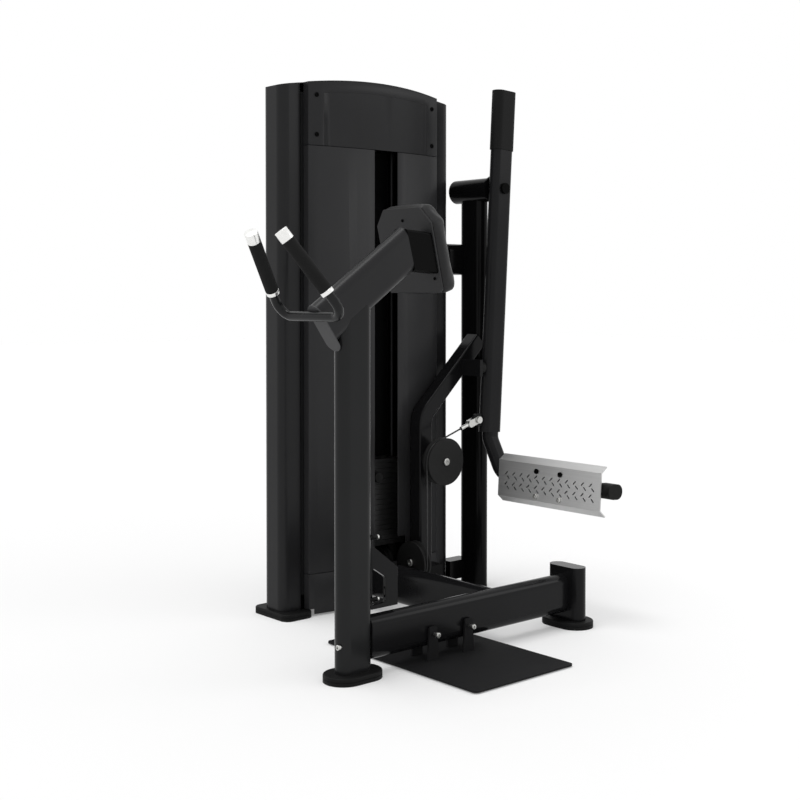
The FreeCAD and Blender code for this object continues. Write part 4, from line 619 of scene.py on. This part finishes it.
def coverScrews():
    wide = domedScrew("headScrew", *[mm(v) for v in screwSet["wide"]])
    seats = [(mm(x, screwSet["headY"], z), (0, -1, 0))
             for x in screwSet["headX"] for z in screwSet["headZ"]]
    headScrews = copyTo(wide, "headScrews", seats)
    bpy.data.objects.remove(wide)
    small = domedScrew("padScrew", *[mm(v) for v in screwSet["small"]])
    tilt = math.radians(screwSet["padTilt"])
    outward = Vector((-math.cos(tilt), 0, -math.sin(tilt)))
    sink = outward * mm(screwSet["padSink"])
    padScrews = copyTo(small, "padScrews", [(mm(*spot) - sink, outward) for spot in screwSet["padSpots"]])
    bpy.data.objects.remove(small)
    screws = joinAll("coverScrews", headScrews, padScrews)
    dress(screws, "blackScrew", "frame", "bolt_steel", "cover_screws")


axleSet = {
    "head": (11, 5),       # radius and height, mm
    "axle": 8,             # radius
    "sleeve": 14,
    "sleeveRim": 0.8,
    "gap": 27.6,           # from the seat to the sleeve: the pulley's own width
    # seat of the head, way of the axle, its length
    "axles": [((683.5, 396.4, 437.4), (0, 1, 0), 83.6),
              ((603.7, 470.2, 127.7), (1, 0, 0), 31.3)],
}


def axleBolts():
    # button heads in front of the two outer pulleys, with the spacers behind them
    head = socketHead("axleHead", *[mm(v) for v in axleSet["head"]])
    seats = [(mm(*seat), -Vector(along)) for seat, along, long in axleSet["axles"]]
    heads = copyTo(head, "axleHeads", seats)
    bpy.data.objects.remove(head)
    shafts = []
    for seat, along, long in axleSet["axles"]:
        axle = roundBar("axleShaft", mm(axleSet["axle"]), mm(long), 36)
        sleeve = roundBar("axleSleeve", mm(axleSet["sleeve"]), mm(long - axleSet["gap"]), 48)
        markBothRims(sleeve)
        bpy.ops.mesh.bevel(offset=mm(axleSet["sleeveRim"]), segments=2)
        leaveEdit()
        sleeve.location.z = mm(axleSet["gap"])
        settle(sleeve)
        shaft = joinAll("axleShaft", axle, sleeve)
        softShade(shaft)
        standAt(shaft, mm(*seat), along)
        shafts.append(shaft)
    dress(joinAll("axleBolts", heads, *shafts), "zinc", "frame", "bolt_steel", "front_axles")


frameBolts()
treadBolts()
treadShadeSheet()
coverScrews()
axleBolts()
print("bolts and screws made")


# handles
handleSet = {
    "away": (-0.546, 0.276, 0.791),      # up the grip, on the side of negative Y
    "ringFoot": (-158.3, -110.3, 950.2),
    "radius": 16.5,
    "bore": 12.02,
    "ringLong": 10.0,
    "gripLong": 144.0,
    "capLong": 28.0,
    "setScrew": 2.0,
    "ringRim": 0.9,
    "gripLip": 2.2,
    "capWall": 3.0,
}


def collar(name, long, closed):
    # a turned collar with chamfered rims and a small grub screw
    ring = roundBar(name, mm(handleSet["radius"]), mm(long), 56)
    markBothRims(ring)
    bpy.ops.mesh.bevel(offset=mm(handleSet["ringRim"]), segments=3)
    leaveEdit()
    bore = roundBar("bore", mm(handleSet["bore"]), mm(long * 2), 48)
    bore.location.z = mm(-long - handleSet["capWall"] if closed else -long / 2)
    settle(bore)
    carve(ring, bore)
    grub = roundBar("grub", mm(handleSet["setScrew"]), mm(6), 20)
    height = long * 0.25 if closed else long / 2
    standAt(grub, mm(-handleSet["radius"] - 4, 0, height), (1, 0, 0))
    carve(ring, grub)
    softShade(ring)
    return ring


def foamGrip(name):
    # a moulded sleeve with a rolled lip at each end
    long = mm(handleSet["gripLong"])
    radius = mm(handleSet["radius"])
    grip = roundBar(name, radius, long, 64)
    markBothRims(grip)
    bpy.ops.mesh.bevel(offset=mm(handleSet["gripLip"]), segments=5)
    leaveEdit()
    bore = roundBar("gripBore", mm(handleSet["bore"]), long * 2, 48)
    bore.location.z = -long / 2
    settle(bore)
    carve(grip, bore)
    softShade(grip, 40)
    return grip


def makeHandles():
    grips, bright = [], []
    for side in (1, -1):
        away = Vector(handleSet["away"])
        foot = mm(*handleSet["ringFoot"])
        away.y *= side
        foot.y *= side
        away.normalize()
        turn = away.to_track_quat("Z", "Y").to_matrix().to_4x4()
        start = 0
        for kind in ("ring", "grip", "cap"):
            long = handleSet[kind + "Long"]
            if kind == "grip":
                part = foamGrip("grip")
                grips.append(part)
            else:
                part = collar(kind, long, kind == "cap")
                bright.append(part)
            part.matrix_world = Matrix.Translation(foot + away * mm(start)) @ turn
            settle(part)
            start += long
    dress(joinAll("handleGrips", *grips), "gripFoam", "frame", "grip_rubber", "grips")
    dress(joinAll("handleCollars", *bright), "turned", "frame", "aluminium", "handle_rings", "handle_caps")


makeHandles()
print("handles made")


# chest pad
padSet = {
    "tilt": 13.3,          # degrees, the pad leans back at its top
    "voxel": 5.0,          # mm
    "smaller": 0.972,      # starting size across the pad, before it is blown up
    "pressure": 4.0,
    "cap": 7.0,            # mm, the furthest a point may move
    "seat": 7.0,           # mm of the back that stays against the board
    "clearance": 0.2,      # mm between the back and the board
    "join": 0.05,          # mm, nearer points are one point
    "steps": 20,           # frames that the cover is blown up for
    "cloth": {"quality": 5, "mass": 0.3, "tension_stiffness": 15, "compression_stiffness": 15,
              "bending_stiffness": 0.5, "use_pressure": True},
}


def inflateCushion(pad, plane, outward):
    group = pad.vertex_groups.new(name="seat")
    held = [v.index for v in pad.data.vertices if (v.co - plane).dot(outward) < mm(padSet["seat"])]
    group.add(held, 1.0, "REPLACE")
    start = [v.co.copy() for v in pad.data.vertices]
    cloth = pad.modifiers.new("Cloth", "CLOTH")
    for key, value in padSet["cloth"].items():
        setattr(cloth.settings, key, value)
    cloth.settings.uniform_pressure_force = padSet["pressure"]
    cloth.settings.effector_weights.gravity = 0
    cloth.settings.vertex_group_mass = "seat"
    cloth.collision_settings.use_collision = False
    cloth.collision_settings.use_self_collision = False
    cloth.point_cache.frame_start = 1
    cloth.point_cache.frame_end = padSet["steps"]
    scene = bpy.context.scene
    for step in range(padSet["steps"]):
        scene.frame_set(step + 1)
    choose(pad)
    bpy.ops.object.modifier_apply(modifier=cloth.name)
    scene.frame_set(1)
    limit = mm(padSet["cap"])
    for vertex, old in zip(pad.data.vertices, start):
        move = vertex.co - old
        if move.length > limit:
            vertex.co = old + move * (limit / move.length)


def makePad():
    tilt = math.radians(padSet["tilt"])
    outward = Vector((math.cos(tilt), 0, math.sin(tilt)))
    source = nodes["pad_cushion"]
    pad = source.copy()
    pad.data = source.data.copy()
    pad.parent = None
    pad.name = "padCushion"
    for key in list(pad.keys()):
        del pad[key]
    bpy.context.scene.collection.objects.link(pad)
    markFaces(pad, lambda centre, normal: True)
    bpy.ops.mesh.remove_doubles(threshold=mm(padSet["join"]))
    leaveEdit()
    lowest = min(v.co.dot(outward) for v in pad.data.vertices)
    low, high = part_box("pad_cushion")
    middle = (low + high) / 2
    for vertex in pad.data.vertices:     # drawn in across the pad, its thickness kept
        offset = vertex.co - middle
        depth = offset.dot(outward)
        across = offset - outward * depth
        vertex.co = middle + across * padSet["smaller"] + outward * depth
    useModifier(pad, "REMESH", mode="VOXEL", voxel_size=mm(padSet["voxel"]))
    plane = outward * min(v.co.dot(outward) for v in pad.data.vertices)
    inflateCushion(pad, plane, outward)
    useModifier(pad, "SMOOTH", factor=0.5, iterations=9)
    useModifier(pad, "SUBSURF", levels=1, render_levels=1)
    for vertex in pad.data.vertices:     # flat where it rests on the board
        under = lowest + mm(padSet["clearance"]) - vertex.co.dot(outward)
        if under > 0:
            vertex.co += outward * under
    softShade(pad, 60)
    dress(pad, "vinyl", "frame", "vinyl", "pad_cushion")


makePad()
print("chest pad blown up")


# cables that lengthen in use
cableSet = {
    "radius": 2.5,
    "sides": 16,
    "cuts": 11,
    "armEnds": ((758.0, 410.2, 532.5), (662.45, 410.2, 499.95)),
    "stackEnds": ((555.0, 617.0, 1478.0), (555.0, 617.0, 467.0)),
}


def makeRun(name, ends, stoodFor):
    # a run between two bodies: it is cut into short lengths so that it can be drawn out
    start, end = mm(*ends[0]), mm(*ends[1])
    run = roundBar(name, mm(cableSet["radius"]), (end - start).length, cableSet["sides"])
    markEdges(run, lambda a, b: abs(a.z - b.z) > 1e-6)
    bpy.ops.mesh.subdivide(number_cuts=cableSet["cuts"])
    leaveEdit()
    softShade(run)
    standAt(run, start, end - start)
    run.data.materials.clear()
    run.data.materials.append(finishes["cable"])
    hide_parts(stoodFor)
    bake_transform(run)


makeRun("armCableRun", cableSet["armEnds"], "arm_cable")
makeRun("stackCableRun", cableSet["stackEnds"], "stack_cable")


bumperSet = {
    "radius": 19,
    "high": 18.8,
    "rim": 4,
    "dishRim": 5,
    "dishDeep": 1.2,
    "seat": (834, 410.2, 718),
}


def makeBumper():
    # a moulded stop with a rolled rim and a dished face
    high = mm(bumperSet["high"])
    bumper = roundBar("stopBumper", mm(bumperSet["radius"]), high, 48)
    markTopRim(bumper, high)
    bpy.ops.mesh.bevel(offset=mm(bumperSet["rim"]), segments=5)
    leaveEdit()
    markFaces(bumper, lambda centre, normal: normal.z > 0.99 and centre.z > high * 0.99)
    bpy.ops.mesh.inset(thickness=mm(bumperSet["dishRim"]))
    bpy.ops.transform.translate(value=(0, 0, -mm(bumperSet["dishDeep"])))
    leaveEdit()
    softShade(bumper)
    standAt(bumper, mm(*bumperSet["seat"]), (1, 0, 0))
    dress(bumper, "footRubber", "frame", "rubber_black", "stop_bumper")


pinSet = {
    "knob": (17, 20),      # radius and length, mm
    "knobRim": 3.5,
    "dimpleRim": 3,
    "dimpleDeep": 1,
    "shank": (4, 47),
    "shankTip": 1.5,
    "seat": (555, 559, 383.5),
}


def makePin():
    # the selector pin: a turned steel pin in a round moulded knob
    knob = roundBar("selectorPin", *[mm(v) for v in pinSet["knob"]], 48)
    markBothRims(knob)
    bpy.ops.mesh.bevel(offset=mm(pinSet["knobRim"]), segments=5)
    leaveEdit()
    markFaces(knob, lambda centre, normal: normal.z < -0.99)
    bpy.ops.mesh.inset(thickness=mm(pinSet["dimpleRim"]))
    bpy.ops.transform.translate(value=(0, 0, mm(pinSet["dimpleDeep"])))
    leaveEdit()
    shank = roundBar("pinShank", *[mm(v) for v in pinSet["shank"]], 24)
    end = mm(pinSet["shank"][1] - 1)
    markEdges(shank, lambda a, b: min(a.z, b.z) > end)
    bpy.ops.mesh.bevel(offset=mm(pinSet["shankTip"]), segments=3)
    leaveEdit()
    shank.location.z = mm(pinSet["knob"][1])
    settle(shank)
    pin = joinAll("selectorPin", knob, shank)
    softShade(pin)
    standAt(pin, mm(*pinSet["seat"]), (0, 1, 0))
    dress(pin, "nylon", "pin", "plastic", "selector_pin")


makeBumper()
makePin()
print("cables, bumper and pin made")


# floor, world and lamps
studioSet = {
    "floorSize": 40.0,
    "floorTone": "#f4f4f4",
    "selfWhite": 0.25,          # share of the floor that the camera sees as plain white
    "selfStrength": 0.80,       # keeps the unshadowed floor as white as the backdrop
    "worldLight": 0.82,
    "sunFrom": (-0.22, 0.12, 1.0),
    "sunStrength": 1.2,
    "sunAngle": 30.0,           # degrees, wide so that the shadows stay soft
    "boxSpot": (3.2, -2.2, 2.4),
    "boxAim": (0.5, 0.2, 0.8),
    "boxSize": 1.6,
    "boxWatts": 12.0,
}


def greatest(tree, first, second):
    node = addNode(tree, "ShaderNodeMath", operation="MAXIMUM")
    tree.links.new(first, node.inputs[0])
    tree.links.new(second, node.inputs[1])
    return node.outputs[0]


def backdropRays(tree):
    # 1 for the rays that see the white room: camera, mirror and glass
    ray = addNode(tree, "ShaderNodeLightPath")
    seen = greatest(tree, ray.outputs["Is Camera Ray"], ray.outputs["Is Transmission Ray"])
    return greatest(tree, seen, ray.outputs["Is Glossy Ray"])


def makeFloor():
    dropSelection()
    bpy.ops.mesh.primitive_plane_add(size=studioSet["floorSize"], location=(0, 0, 0))
    floor = bpy.context.active_object
    floor.name = "studioFloor"
    made = bpy.data.materials.new("paleStudioFloor")
    made.use_nodes = True
    tree = made.node_tree
    tree.nodes.clear()
    share = addNode(tree, "ShaderNodeMath", operation="MULTIPLY")
    tree.links.new(backdropRays(tree), share.inputs[0])
    share.inputs[1].default_value = studioSet["selfWhite"]
    matt = addNode(tree, "ShaderNodeBsdfDiffuse", values={"Color": colour(studioSet["floorTone"])})
    white = addNode(tree, "ShaderNodeEmission", values={"Strength": studioSet["selfStrength"]})
    seen = addNode(tree, "ShaderNodeMixShader")
    tree.links.new(share.outputs[0], seen.inputs[0])
    tree.links.new(matt.outputs[0], seen.inputs[1])
    tree.links.new(white.outputs[0], seen.inputs[2])
    end = addNode(tree, "ShaderNodeOutputMaterial")
    tree.links.new(seen.outputs[0], end.inputs["Surface"])
    floor.data.materials.append(made)


def makeWorld():
    world = bpy.data.worlds.new("whiteRoom")
    bpy.context.scene.world = world
    world.use_nodes = True
    tree = world.node_tree
    tree.nodes.clear()
    room = addNode(tree, "ShaderNodeBackground", values={"Strength": studioSet["worldLight"]})
    white = addNode(tree, "ShaderNodeBackground", values={"Strength": 1.0})
    for node in (room, white):
        node.inputs["Color"].default_value = (1, 1, 1, 1)
    seen = addNode(tree, "ShaderNodeMixShader")
    tree.links.new(backdropRays(tree), seen.inputs[0])
    tree.links.new(room.outputs[0], seen.inputs[1])
    tree.links.new(white.outputs[0], seen.inputs[2])
    end = addNode(tree, "ShaderNodeOutputWorld")
    tree.links.new(seen.outputs[0], end.inputs["Surface"])


def makeLamps():
    dropSelection()
    bpy.ops.object.light_add(type="SUN", location=(0, 0, 4))
    sun = bpy.context.active_object
    sun.name = "overheadSky"
    sun.data.energy = studioSet["sunStrength"]
    sun.data.angle = math.radians(studioSet["sunAngle"])
    sun.rotation_euler = Vector(studioSet["sunFrom"]).to_track_quat("Z", "Y").to_euler()
    dropSelection()
    spot, aim = Vector(studioSet["boxSpot"]), Vector(studioSet["boxAim"])
    bpy.ops.object.light_add(type="AREA", location=spot)
    lamp = bpy.context.active_object
    lamp.name = "rightSoftbox"
    lamp.data.size = studioSet["boxSize"]
    lamp.data.energy = studioSet["boxWatts"]
    lamp.rotation_euler = (aim - spot).to_track_quat("-Z", "Y").to_euler()


makeFloor()
makeWorld()
makeLamps()
bpy.context.scene.view_settings.view_transform = "Standard"
print("studio lit")

bpy.context.view_layer.update()
